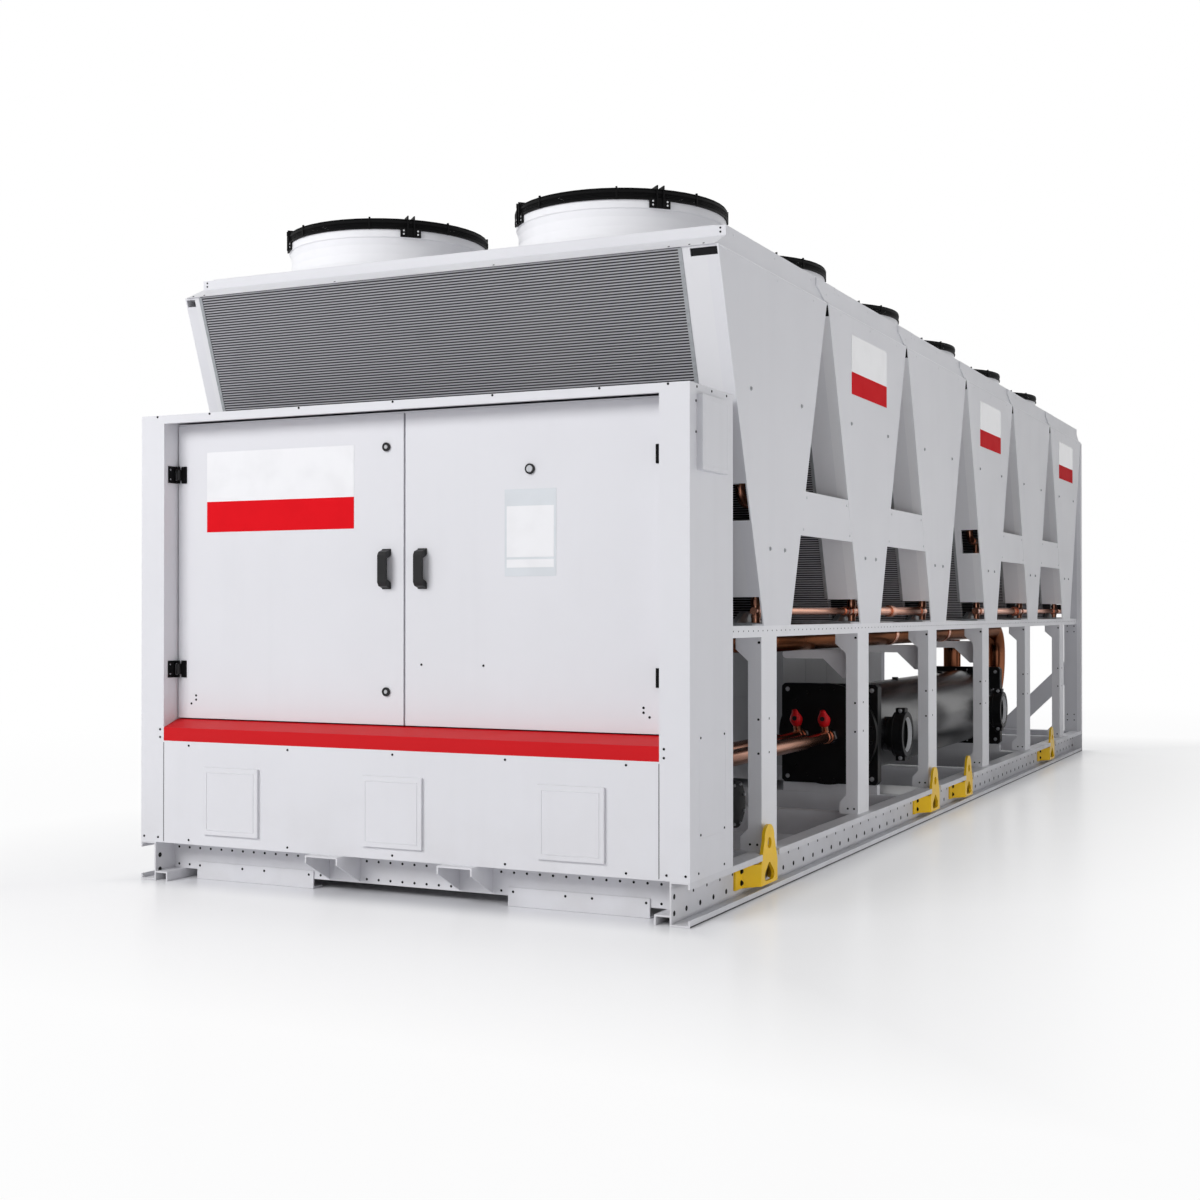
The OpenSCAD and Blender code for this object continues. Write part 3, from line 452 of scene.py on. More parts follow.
def box(bm, low, high, bevel=1.0):
    """A block with eased edges."""
    low, high = Vector(low), Vector(high)
    made = bmesh.ops.create_cube(bm, size=1)["verts"]
    bmesh.ops.scale(bm, vec=high - low, verts=made)
    bmesh.ops.translate(bm, vec=(low + high) / 2, verts=made)
    edges = list({e for v in made for e in v.link_edges})
    if bevel:
        bmesh.ops.bevel(bm, geom=edges, offset=bevel, segments=2, profile=0.6, affect="EDGES")


def side_box(bm, side, xs, ys, zs, bevel=1.0):
    """A block on the left (-1) or the right (1), between two distances from the middle."""
    x0, x1 = sorted(side * x for x in xs)
    box(bm, (x0, ys[0], zs[0]), (x1, ys[1], zs[1]), bevel)


def turn_new(bm, before, centre, angle):
    """Turns what was added since before round an upright axis and carries it to a centre."""
    turned = Matrix.Translation((*centre, 0)) @ Matrix.Rotation(angle, 4, "Z")
    bmesh.ops.transform(bm, matrix=turned, verts=[v for v in bm.verts if v not in before])


def circle(sides):
    """Cosines and sines of even steps round a turn."""
    return [(math.cos(math.tau * j / sides), math.sin(math.tau * j / sides)) for j in range(sides)]


def bolt_circle(count, radius):
    """Offsets of bolts round a flange, the first of them half a step up."""
    turns = [math.pi * (2 * k + 1) / count for k in range(count)]
    return [(radius * math.cos(t), radius * math.sin(t)) for t in turns]


def ring_of(centre, across, up, width, height, radius, inset, lift):
    """Points round a rounded rectangle, drawn in by inset and raised by lift."""
    centre, across, up = Vector(centre), Vector(across), Vector(up)
    out, r = across.cross(up), max(radius - inset, 0.2)
    points = []
    for sx, sy, turn in ((1, 1, 0), (-1, 1, 90), (-1, -1, 180), (1, -1, 270)):
        for k in range(5):
            a = math.radians(turn + 22.5 * k)
            u = sx * (width / 2 - inset - r) + r * math.cos(a)
            v = sy * (height / 2 - inset - r) + r * math.sin(a)
            points.append(centre + across * u + up * v + out * lift)
    return points


def loft(bm, rings, join_ends=False):
    """Skins a row of closed rings, and closes its two ends or joins them."""
    rows = [[bm.verts.new(p) for p in ring] for ring in rings]
    pairs = list(zip(rows, rows[1:])) + ([(rows[-1], rows[0])] if join_ends else [])
    for a, b in pairs:
        n = len(a)
        for k in range(n):
            bm.faces.new((a[k], a[(k + 1) % n], b[(k + 1) % n], b[k]))
    if not join_ends:
        bm.faces.new(rows[0][::-1])
        bm.faces.new(rows[-1])


def plate(bm, centre, across, up, width, height, radius=3, thick=1.0, lip=0.4):
    """A thin plate with round corners and an eased rim."""
    args = (centre, across, up, width, height, radius)
    loft(bm, [ring_of(*args, 0, -0.4), ring_of(*args, 0, thick - lip), ring_of(*args, lip, thick)])


def raised_line(bm, centre, across, up, width, height, radius, line=3.0, thick=0.8):
    """A pressed line that runs round a rectangle."""
    args = (centre, across, up, width, height, radius)
    loft(bm, [ring_of(*args, 0, -0.3), ring_of(*args, line * 0.3, thick),
              ring_of(*args, line * 0.7, thick), ring_of(*args, line, -0.3)], join_ends=True)


def slanted_strip(bm, mid, edge, xs, zs, offsets):
    """A thin strip along the front (-1) or the rear (1) slanting edge of a module."""
    rings = []
    for z in zs:
        y0, y1 = (mid + edge * half_at(z) + offset for offset in offsets)
        rings.append([(xs[0], y0, z), (xs[1], y0, z), (xs[1], y1, z), (xs[0], y1, z)])
    loft(bm, rings)


def round_bar(bm, start, end, radius, sides):
    """A straight round bar between two points."""
    start, end = Vector(start), Vector(end)
    along = (end - start).normalized()
    askew = Vector((0.31, 0.52, 0.79))
    side = along.cross(askew).normalized()
    over = along.cross(side)
    loft(bm, [[p + (side * c + over * s) * radius for c, s in circle(sides)] for p in (start, end)])


def collar(bm, centre, axis, inner, outer, length, sides=28):
    """A sleeve round a pipe, with eased ends."""
    centre, axis = Vector(centre), Vector(axis).normalized()
    side = axis.orthogonal().normalized()
    over = axis.cross(side)
    section = ((-0.5, inner), (-0.5, outer - 1), (-0.42, outer), (0.42, outer), (0.5, outer - 1),
               (0.5, inner))
    loft(bm, [[centre + axis * along * length + (side * c + over * s) * r for c, s in circle(sides)]
              for along, r in section], join_ends=True)


# ---------------------------------------------------------------- geometry node trees

class Works:
    """A Geometry Nodes tree under construction, with named inputs."""

    def __init__(self, name, inputs):
        self.tree = bpy.data.node_groups.new(name, "GeometryNodeTree")
        face = self.tree.interface
        face.new_socket("Geometry", in_out="INPUT", socket_type="NodeSocketGeometry")
        self.ids = {}
        for label, kind, value in inputs:
            socket = face.new_socket(label, in_out="INPUT", socket_type="NodeSocket" + kind)
            if value is not None:
                socket.default_value = value
            self.ids[label] = socket.identifier
        face.new_socket("Geometry", in_out="OUTPUT", socket_type="NodeSocketGeometry")
        self.source = self.tree.nodes.new("NodeGroupInput")
        self.end = self.tree.nodes.new("NodeGroupOutput")

    def given(self, label):
        return self.source.outputs[label]

    def add(self, kind, settings=None, sockets=None):
        n = self.tree.nodes.new(kind)
        for key, value in (settings or {}).items():
            setattr(n, key, value)
        for key, value in (sockets or {}).items():
            for one in value if isinstance(value, list) else [value]:
                if isinstance(one, bpy.types.NodeSocket):
                    self.tree.links.new(one, n.inputs[key])
                else:
                    n.inputs[key].default_value = one
        return n.outputs[0]

    def math(self, operation, a, b):
        return self.add("ShaderNodeMath", {"operation": operation}, {0: a, 1: b})

    def point(self, **parts):
        """A vector from its X, Y and Z."""
        return self.add("ShaderNodeCombineXYZ", {}, parts)

    def line(self, start, end):
        return self.add("GeometryNodeCurvePrimitiveLine", {}, {"Start": start, "End": end})

    def join(self, *parts):
        return self.add("GeometryNodeJoinGeometry", {}, {"Geometry": list(parts)})

    def on_points(self, points, shape, **more):
        """A copy of a shape on every point."""
        return self.add("GeometryNodeInstanceOnPoints", {}, {"Points": points, "Instance": shape, **more})

    def finish(self, geometry):
        real = self.add("GeometryNodeRealizeInstances", {}, {"Geometry": geometry})
        done = self.add("GeometryNodeSetMaterial", {}, {"Geometry": real,
                                                        "Material": self.given("Finish")})
        self.tree.links.new(done, self.end.inputs[0])


def fastener_works(name, washer):
    """A head, with or without a washer, on every point, turned to its facing."""
    w = Works(name, [("Sides", "Int", 6), ("Head Radius", "Float", 0.008), ("Head Taper", "Float", 0.9),
                     ("Head Height", "Float", 0.005), ("Washer Radius", "Float", 0.011),
                     ("Washer Height", "Float", 0.0015), ("Finish", "Material", None)])
    top = w.math("MULTIPLY", w.given("Head Radius"), w.given("Head Taper"))
    shape = w.add("GeometryNodeMeshCone", {}, {"Vertices": w.given("Sides"), "Radius Top": top,
                                               "Radius Bottom": w.given("Head Radius"),
                                               "Depth": w.given("Head Height")})
    if washer:
        disc = w.add("GeometryNodeMeshCone", {}, {
            "Vertices": 14, "Radius Top": w.math("MULTIPLY", w.given("Washer Radius"), 0.94),
            "Radius Bottom": w.given("Washer Radius"), "Depth": w.given("Washer Height")})
        lifted = w.add("GeometryNodeTransform", {}, {"Geometry": shape,
                                                     "Translation": w.point(Z=w.given("Washer Height"))})
        shape = w.join(disc, lifted)
    facing = w.add("GeometryNodeInputNamedAttribute", {"data_type": "FLOAT_VECTOR"}, {"Name": "facing"})
    turn = w.add("FunctionNodeAlignRotationToVector", {"axis": "Z"}, {"Vector": facing})
    w.finish(w.on_points(w.given("Geometry"), shape, Rotation=turn))
    return w


def guard_works():
    """Wire guard on every point: rings over the top, a stack of rings round the side, and ribs."""
    w = Works("guard_wires", [("Outer Radius", "Float", 0.402), ("First Ring", "Float", 0.1),
                              ("Ring Step", "Float", 0.0165), ("Top Rings", "Int", 18),
                              ("Side Rings", "Int", 8), ("Side Step", "Float", 0.0052),
                              ("Side Foot", "Float", 2.4915), ("Top Height", "Float", 2.5305),
                              ("Ribs", "Int", RIBS), ("First Rib", "Float", FIRST_RIB),
                              ("Wire", "Float", 0.0027), ("Finish", "Material", None)])
    outer, first, foot, top = (w.given(label) for label in
                               ("Outer Radius", "First Ring", "Side Foot", "Top Height"))
    hoop = w.add("GeometryNodeCurvePrimitiveCircle", {}, {"Resolution": 48, "Radius": 1.0})
    index = w.add("GeometryNodeInputIndex")
    # concentric rings across the top
    spots = w.add("GeometryNodeMeshLine", {}, {"Count": w.given("Top Rings"),
                                               "Start Location": w.point(Z=top), "Offset": (0, 0, 0)})
    size = w.math("ADD", first, w.math("MULTIPLY", index, w.given("Ring Step")))
    rings = w.on_points(spots, hoop, Scale=w.point(X=size, Y=size, Z=1.0))
    # rings stacked round the side
    stack = w.add("GeometryNodeMeshLine", {}, {"Count": w.given("Side Rings"),
                                               "Start Location": w.point(Z=foot),
                                               "Offset": w.point(Z=w.given("Side Step"))})
    hoops = w.on_points(stack, hoop, Scale=w.point(X=outer, Y=outer, Z=1.0))
    # ribs: up the side, then in over the top
    corner = w.point(X=outer, Z=top)
    rib = w.join(w.line(w.point(X=outer, Z=foot), corner), w.line(w.point(X=first, Z=top), corner))
    hub = w.add("GeometryNodeMeshLine", {}, {"Count": w.given("Ribs"), "Offset": (0, 0, 0)})
    turn = w.math("ADD", w.given("First Rib"),
                  w.math("MULTIPLY", index, w.math("DIVIDE", math.tau, w.given("Ribs"))))
    ribs = w.on_points(hub, rib, Rotation=w.point(Z=turn))
    wires = w.add("GeometryNodeRealizeInstances", {}, {"Geometry": w.join(rings, hoops, ribs)})
    section = w.add("GeometryNodeCurvePrimitiveCircle", {}, {"Resolution": 5, "Radius": w.given("Wire")})
    solid = w.add("GeometryNodeCurveToMesh", {}, {"Curve": wires, "Profile Curve": section,
                                                  "Fill Caps": True})
    w.finish(w.on_points(w.given("Geometry"), solid))
    return w


BOLT = fastener_works("washered_bolts", True)
STUD = fastener_works("plain_heads", False)
GUARD = guard_works()


def grow(name, works, spots, finish, slot, body="chassis", **sizes):
    """Runs a tree on points with facings and keeps the result as a plain mesh; sizes in metres."""
    points = bpy.data.meshes.new(name + "_points")
    points.from_pydata([place(*at) for at, facing in spots], [], [])
    facings = points.attributes.new("facing", "FLOAT_VECTOR", "POINT")
    facings.data.foreach_set("vector", [c for at, facing in spots for c in facing])
    obj = add_object(name, points)
    modifier = obj.modifiers.new("works", "NODES")
    modifier.node_group = works.tree
    modifier[works.ids["Finish"]] = finish
    for key, value in sizes.items():
        modifier[works.ids[key.replace("_", " ").title()]] = value
    keep_result(obj, modifier).name = name
    bpy.data.meshes.remove(points)
    return settle(obj, body)


def dots(name, spots, radius, slot="cabinet_paint", body="chassis", finish=BLACK_AND_SHADE, height=0.0006):
    """Small screw heads or punched holes, just proud of their sheet; the holes are near-black painted
    shade.
    """
    return grow(name, STUD, spots, finish, slot, body, sides=12, head_radius=radius, head_taper=0.94,
                head_height=height)


def both_sides(x, y, z):
    """The same spot on the right and the left of the machine, facing out."""
    return [((x, y, z), RIGHT), ((-x, y, z), LEFT)]


def both_insides(x, y, z):
    """The same spot on the right and the left of the machine, facing in."""
    return [((x, y, z), LEFT), ((-x, y, z), RIGHT)]


# ---------------------------------------------------------------- fan guards and decks

def fan_guards():
    """Wire guards, the clips of their ribs, the tops of their arms and the arms' bolts."""
    grow("guard_wires", GUARD, [((x, y, 0), UP) for x, y in FANS], BLACK, "black_paint")
    clip_in, clip_out, clip_half = 401, 407.5, 3.5
    arm_in, arm_out, bolt_out = 300, 413, 406
    bm = bmesh.new()
    bolts = []
    for x, y in FANS:
        for k in range(RIBS):
            before = set(bm.verts)
            box(bm, (clip_in, -clip_half, RIM_TOP - 1), (clip_out, clip_half, RIM_TOP + 46), 1.2)
            turn_new(bm, before, (x, y), FIRST_RIB + math.tau * k / RIBS)
        for arm in (45, 135, 225, 315):
            angle = math.radians(arm)
            before = set(bm.verts)
            for along in (-15, 10):
                box(bm, (arm_in, along, GUARD_TOP - 4), (arm_out, along + 5, GUARD_TOP + 12), 1)
            turn_new(bm, before, (x, y), angle)
            out = Vector((math.cos(angle), math.sin(angle), 0))
            across = Vector((-out.y, out.x, 0))
            for along in (-28, 28):
                at = Vector((x, y, 0)) + out * bolt_out + across * along
                bolts += [((at.x, at.y, z), out) for z in (RIM_TOP - 17, RIM_TOP - 4)]
    from_bmesh("guard_rib_clips", bm, BLACK)
    dots("guard_clip_bolts", bolts, 0.0036, slot="zinc", finish=PLATED, height=0.0022)


def fan_decks():
    """Screws of the decks' sloping borders, sides and joint covers, and ribs between the fans."""
    deck_side, joint_side = 1120, 1125
    border_y, border_z, end_y, rib_y = 586, 2262, 495, 474
    screws, side_screws = [], []
    for mid in MIDS:
        for dy in (-420, 0, 420):
            side_screws += both_sides(deck_side, mid + dy, 2318)
        for s in BOTH:
            slope = (0, s * 0.43, 0.903)
            for x in (-1095, -1041, -424, 263, 947, 1023, 1075):
                screws.append(((x, mid + s * border_y, border_z), slope))
            for x in (-1100, 1100):
                for z in (2317, 2331):
                    screws.append(((x, mid + s * end_y, z), (0, s, 0)))
    for seam in SEAMS:
        for dy, z in ((-105, 2326), (105, 2326), (-105, 2312), (105, 2312), (0, 2290)):
            side_screws += both_sides(joint_side, seam + dy, z)
    dots("deck_screws", screws, 0.0036, height=0.0014)
    dots("deck_side_screws", side_screws, 0.0036, height=0.0014, finish=PANEL)

    bm = bmesh.new()
    for mid in MIDS:
        for s in BOTH:
            y = mid + s * rib_y
            box(bm, (-1080, y - 9, DECK_TOP - 1), (1080, y + 9, DECK_TOP + 7), 3)
    from_bmesh("deck_ribs", bm, PANEL)


# ---------------------------------------------------------------- side panels and coils

def notched_panels(name, node, notches):
    """A node's panels with notches in their turned edges; the edges behind the first module's front
    get a paler copy of the panel paint, a painted highlight."""
    panels = add_object(name, frame["nodes"][node].data.copy())
    bm = bmesh.new()
    bm.from_mesh(panels.data)
    bmesh.ops.remove_doubles(bm, verts=bm.verts, dist=1e-5)
    bm.to_mesh(panels.data)
    bm.free()
    bm = bmesh.new()
    for low, high in notches:
        box(bm, place(*low), place(*high), 0)
    cutter = add_object(name + "_cutter", bpy.data.meshes.new(name + "_cutter"))
    bm.to_mesh(cutter.data)
    bm.free()
    cut = panels.modifiers.new("notches", "BOOLEAN")
    cut.operation, cut.solver, cut.object = "DIFFERENCE", "EXACT", cutter
    made = keep_result(panels, cut)
    bpy.data.objects.remove(cutter)
    made.materials.clear()
    for finish in (PANEL, EDGE):
        made.materials.append(finish)
    for polygon in made.polygons:
        # painted highlight: turned edges behind the first module's middle get the paler paint
        edge = abs(polygon.normal.x) < 0.5 and polygon.center.y > FIRST_MID_DEPTH
        polygon.material_index = int(edge)
    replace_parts(settle(panels, "chassis"), node)


def panel_fasteners():
    """Bolts and screws of the side panels and of the bridge plates between them."""
    screw_z, bridge_inset = 2235, 26
    bolts, bridge_screws, screws = [], [], []
    for mid in MIDS:
        for dy, z in ((277, 1805), (-277, 1805), (80, 1246), (-80, 1246)):
            bolts += both_sides(SIDE, mid + dy, z)
        for share in (-0.72, 0, 0.72):
            screws += both_sides(SIDE, mid + share * half_at(screw_z), screw_z)
    for seam in (SEAMS[i] for i in (0, 1, 3, 4)):
        for z in (1334, 1458):
            gap = PITCH / 2 - half_at(z)
            for s in BOTH:
                bridge_screws += both_sides(SIDE - 1, seam + s * (gap - bridge_inset), z)
    grow("side_panel_bolts", BOLT, bolts, HOUSING, "zinc", head_radius=0.006, head_taper=0.92,
         head_height=0.00372, washer_radius=0.0087, washer_height=0.0012)
    dots("bridge_screws", bridge_screws, 0.0055, finish=PLATED, height=0.002)
    dots("side_panel_screws", screws, 0.0036, height=0.0014, finish=PANEL)


def side_panels():
    """Rolled lips with a painted highlight, bare plates, the notched right panels, and painted shade in
    the slots at the head of the V gaps.
    """
    # the rolled lips get the paler paint, a painted highlight along their tops
    bm = bmesh.new()
    for mid in MIDS:
        for s in BOTH:
            side_box(bm, s, (1123, 1131.4), (mid - 592, mid + 592), (2251.5, 2256))
    from_bmesh("panel_top_lips", bm, LIT_PANEL)

    # bare plates on every second panel of the right side
    plate_offset, plate_width = -8, 530
    bm_white, bm_red = bmesh.new(), bmesh.new()
    for mid in MIDS[1::2]:
        y = mid + plate_offset
        plate(bm_white, (SIDE, y, 2103), BACK, UP, plate_width, 156, radius=1)
        plate(bm_red, (SIDE, y, 1978), BACK, UP, plate_width, 94, radius=1)
    from_bmesh("panel_plates_white", bm_white, PLATE_SHEET)
    from_bmesh("panel_plates_red", bm_red, RED_SHEET)

    # notches over the manifolds and at the riser windows; the last panel's rear edge has none
    notches = []
    for mid in MIDS:
        for z0, z1 in ((974, 1070), (1340, 1468)):
            for s in BOTH if mid < MIDS[-1] else (-1,):
                y0, y1 = sorted((mid + s * (half_at(z0) - 8), mid + s * (half_at(z1) + 6)))
                notches.append(((1080, y0, z0), (1124.6, y1, z1)))
    notched_panels("side_panels_right", "v_panels_right", notches)

    # near-black strips at the top of the gaps between the panels, painted shade
    bm = bmesh.new()
    for mid in MIDS[1:]:
        for s in BOTH:
            slanted_strip(bm, mid, -1, (s * 1086, s * 1128), (2208, 2249), (-1.4, 0.6))
    from_bmesh("panel_top_slot_shade", bm, BLACK_AND_SHADE)

    # near-black plates behind the slots at the head of the right covers, painted shade
    bm = bmesh.new()
    for mid in MIDS:
        slanted_strip(bm, mid, -1, (1028, 1123), (2222.5, 2247.5), (3, 5))
    from_bmesh("cover_slot_shade", bm, BLACK_AND_SHADE)


def coil_edge_strips():
    """Thin folded edges beside the fins; on the right they start above the covers' feet."""
    bm = bmesh.new()
    for mid in MIDS:
        for s in BOTH:
            for x, foot in ((-1055, 985), (990, 1072)):
                slanted_strip(bm, mid, s, (x - 7, x + 7), (foot, 2252), (0, s * 2.5))
    from_bmesh("coil_edge_strips", bm, ZINC)


# ---------------------------------------------------------------- cabinet and doors

def cabinet():
    """Screws, cover plates, pressed lines and joints of the cabinet's fixed sheets."""
    screws = [((x, 0, 1756), FORWARD) for x in (-1054, -807, -402, 0, 402, 807, 1054)]
    for y in (60, 190, 325):
        screws += both_sides(SIDE, y, 1750)
    screws += [((x, 0, z), FORWARD) for x in (-902, -450, 0, 452, 904) for z in (161, 515)]
    screws += [((s * x, 0, z), FORWARD) for s in BOTH
               for x, z in ((1039, 543), (1039, 572), (1048, 164), (1115, 165))]
    for y, z in ((92, 288), (303, 288), (92, 605), (303, 605), (74, 165), (302, 165), (52, 1602),
                 (52, 1703)):
        screws += both_sides(SIDE, y, z)
    dots("cabinet_screws", screws, 0.0044, height=0.0014)

    # a raised cover high on each side, and the outline of a flush one below it
    proud = 22
    bm = bmesh.new()
    for s in BOTH:
        across = (0, s, 0)
        plate(bm, (s * SIDE, 177, 1603), across, UP, 232, 248, radius=4, thick=proud, lip=1.5)
        raised_line(bm, (s * (SIDE + proud), 177, 1603), across, UP, 206, 222, radius=4, line=2.4,
                    thick=0.6)
        raised_line(bm, (s * SIDE, 197, 446), across, UP, 236, 344, radius=3, line=2.4, thick=0.7)
    from_bmesh("cabinet_side_covers", bm, PANEL)

    bm = bmesh.new()
    for x in (-703, 0, 703):
        raised_line(bm, (x, -11, 313), RIGHT, UP, 218, 218, radius=4, line=4.0, thick=1.8)
    from_bmesh("knockout_lines", bm, PANEL)

    # joints between the lower panel and the columns
    bm = bmesh.new()
    for s in BOTH:
        side_box(bm, s, (1020.2, 1022.8), (-0.5, 0.5), (150, 524), 0.2)
    from_bmesh("column_joints", bm, BLACK_AND_SHADE)

    # strip under the roof that closes the gap over the doors
    bm = bmesh.new()
    box(bm, (-1015, 79, 1725.7), (1015, 101, 1731), 0.6)
    from_bmesh("door_head_strip", bm, PANEL)


def doors():
    """Bare plates and fields, screws, hinge leaves, handle feet, locks and the port's lens."""
    plate_x, sheet_x = -548, 507
    for name, finish, slot, body, x, z, width, height, radius in (
            ("left_door_plate", WHITE_SHEET, "cabinet_paint", "left_leaf", plate_x, 1526.5, 666, 187, 1),
            ("left_door_band", RED_SHEET, "red_paint", "left_leaf", plate_x, 1375.5, 666, 115, 1),
            ("right_door_plate", PALE_SHEET, "cabinet_paint", "right_leaf", sheet_x, 1289, 200, 300, 2)):
        bm = bmesh.new()
        plate(bm, (x, DOOR_FACE, z), RIGHT, UP, width, height, radius)
        from_bmesh(name, bm, finish, body)
    bm = bmesh.new()
    for z, height in ((1293, 176), (1183, 28)):
        plate(bm, (sheet_x, DOOR_FACE - 1, z), RIGHT, UP, 183, height, radius=1, thick=0.4, lip=0.2)
    from_bmesh("right_door_fields", bm, WHITE_SHEET, "right_leaf")

    for s, side in ((-1, "left"), (1, "right")):
        body = side + "_leaf"
        spots = [(s * 932, 699), (s * 932, 683), (s * 954, 668)]
        if side == "right":
            spots += [(71, 830), (323, 830)]
        dots(side + "_door_screws", [((x, DOOR_FACE, z), FORWARD) for x, z in spots], 0.0045, body=body,
             height=0.0012)
        bm = bmesh.new()
        for z in HINGE_ZS:
            side_box(bm, s, (977.6, 1001), (73.6, 78.2), (z - HINGE_HALF, z + HINGE_HALF), 0.8)
        from_bmesh(side + "_hinge_leaves", bm, BLACK, body)
        bm = bmesh.new()
        for zs in ((1098, 1120), (1220, 1242)):
            side_box(bm, s, (56, 94), (75.5, 78.4), zs, 1.2)
        from_bmesh(side + "_handle_feet", bm, PLASTIC, body)

    leaf_face = 1018.5
    bm = bmesh.new()
    leaf_screws = []
    for s in BOTH:
        for z in HINGE_ZS:
            side_box(bm, s, (leaf_face, leaf_face + 4), (22, 62), (z - HINGE_HALF, z + HINGE_HALF), 0.8)
            leaf_screws += [((s * leaf_face, 32, z + dz), (-s, 0, 0)) for dz in (-18, 18)]
    from_bmesh("hinge_fixed_leaves", bm, BLACK)
    dots("hinge_leaf_screws", leaf_screws, 0.0036, slot="zinc", finish=PLATED, height=0.0012)

    bm = bmesh.new()
    for z in LOCK_ZS:
        collar(bm, (LOCK_X, 74, z), FORWARD, 9, 16, 6)
    from_bmesh("lock_rings", bm, PLASTIC, "left_leaf")
    grow("lock_inserts", STUD, [((LOCK_X, 72, z), FORWARD) for z in LOCK_ZS], PLATED, "zinc", "left_leaf",
         sides=24, head_radius=0.0075, head_taper=0.9, head_height=0.0014)
    grow("port_lens", STUD, [((sheet_x, 71.2, 1507), FORWARD)], PORT, "zinc", "right_leaf",
         sides=32, head_radius=0.0124, head_taper=0.86, head_height=0.0025)


# ---------------------------------------------------------------- base frame and posts

def base_rails():
    """Rows of holes in the rails' webs, black strips along their feet as a painted shadow, and the rear
    corners.
    """
    low_row, small_row, inner_row = 39, 89, 93
    first_hole, hole_pitch, last_hole, lug_reach = 127, 120, 7480, 225
    big, small = [], []
    for k in range(62):
        y = first_hole + hole_pitch * k
        if all(abs(y - lug) >= lug_reach for lug in LUG_YS):
            big += both_sides(RAIL_OUTSIDE, y, low_row)
            between = y + hole_pitch / 2
            if between < last_hole:
                small += both_sides(RAIL_OUTSIDE, between, small_row)
        big += both_insides(RAIL_INSIDE, y, inner_row)
    for y in (24, 7472):
        for z in (low_row, inner_row):
            big += both_sides(RAIL_OUTSIDE, y, z) + both_insides(RAIL_INSIDE, y, z)
    dots("rail_holes", big, 0.0095, slot="frame_paint")
    dots("rail_holes_small", small, 0.0055, slot="frame_paint")

    # painted shadow: thin black strips along the rails' feet where the contact shadow falls
    bm = bmesh.new()
    for s in BOTH:
        side_box(bm, s, (1129, 1130.9), (2, 7494), (0.2, 4.6), 0.4)
    from_bmesh("rail_shadow_strips", bm, PLASTIC)

    # folded covers on the rear posts, and plates that close the rails
    rail_top = 145
    bm = bmesh.new()
    for s in BOTH:
        side_box(bm, s, (1098, SIDE), (REAR_POST_FRONT, 7501), (rail_top, 2250), 2)
        side_box(bm, s, (1060, SIDE), (7490, 7498), (0.5, rail_top))
    from_bmesh("rear_corner_covers", bm, POST)


def beams_and_posts():
    """Rows of holes in the beams and the posts, and the bolts of posts, lugs and rear panel."""
    beam_front, foot_front, low_row, high_row = 107, 101, 50, 115
    beam = []
    for k in range(42):
        x = -1036 + 50.5 * k
        at_bracket, at_foot_plate = 200 < abs(x) < 350, 400 < abs(x) < 950
        if not at_bracket:
            beam.append(((x, beam_front, high_row), FORWARD))
            if not at_foot_plate:
                beam.append(((x, beam_front, low_row), FORWARD))
    for x in (931, 731, 630, 428):
        beam += [((s * x, foot_front, low_row), FORWARD) for s in BOTH]
    beam += [((x, REAR_POST_BACK, z), BACK) for x in range(-1000, 1001, 100) for z in (low_row, high_row)]
    dots("beam_holes", beam, 0.0048, slot="frame_paint")

    rows = []
    for k in range(140):
        rows += both_sides(POST_SIDE, 425 + 50 * k, 948)
    dots("upper_beam_holes", rows, 0.0027, slot="frame_paint")

    holes, bolts = [], []
    for mid in MIDS:
        faces = ((mid - POST_HALF, FORWARD), (mid + POST_HALF, BACK))
        for z in (500, 624):
            holes += both_sides(POST_SIDE, mid, z)
        for s in BOTH:
            for y, face in faces:
                holes += [((s * x, y, z), face) for x, z in ((1085, 500), (1085, 624), (1052, 168),
                                                             (1080, 168))]
                bolts.append(((s * 1088, y, 905), face))
    for s in BOTH:
        for x in (1032, 1080):
            for z in (224, 265, 871, 912, 1500, 1541, 2080, 2121):
                holes += [((s * x, REAR_POST_FRONT, z), FORWARD), ((s * x, REAR_POST_BACK, z), BACK)]
    dots("post_holes", holes, 0.0046, slot="frame_paint")
    dots("post_bolts", bolts, 0.0052, slot="zinc", height=0.003)

    lug_face = 1073
    lug_bolts = []
    for y in LUG_YS:
        for dy in (-156, 156):
            for z in (50, 92):
                lug_bolts += both_sides(lug_face, y + dy, z)
    grow("lug_bolts", BOLT, lug_bolts, BLACK, "zinc", head_radius=0.0075, head_height=0.005,
         washer_radius=0.011, washer_height=0.0016)

    rear = [((x, 7490, z), BACK) for x in (-1020, -700, -375) for z in (170, 420, 670, 905)]
    dots("rear_panel_screws", rear, 0.0045, height=0.0014)


# ---------------------------------------------------------------- evaporator and pipes

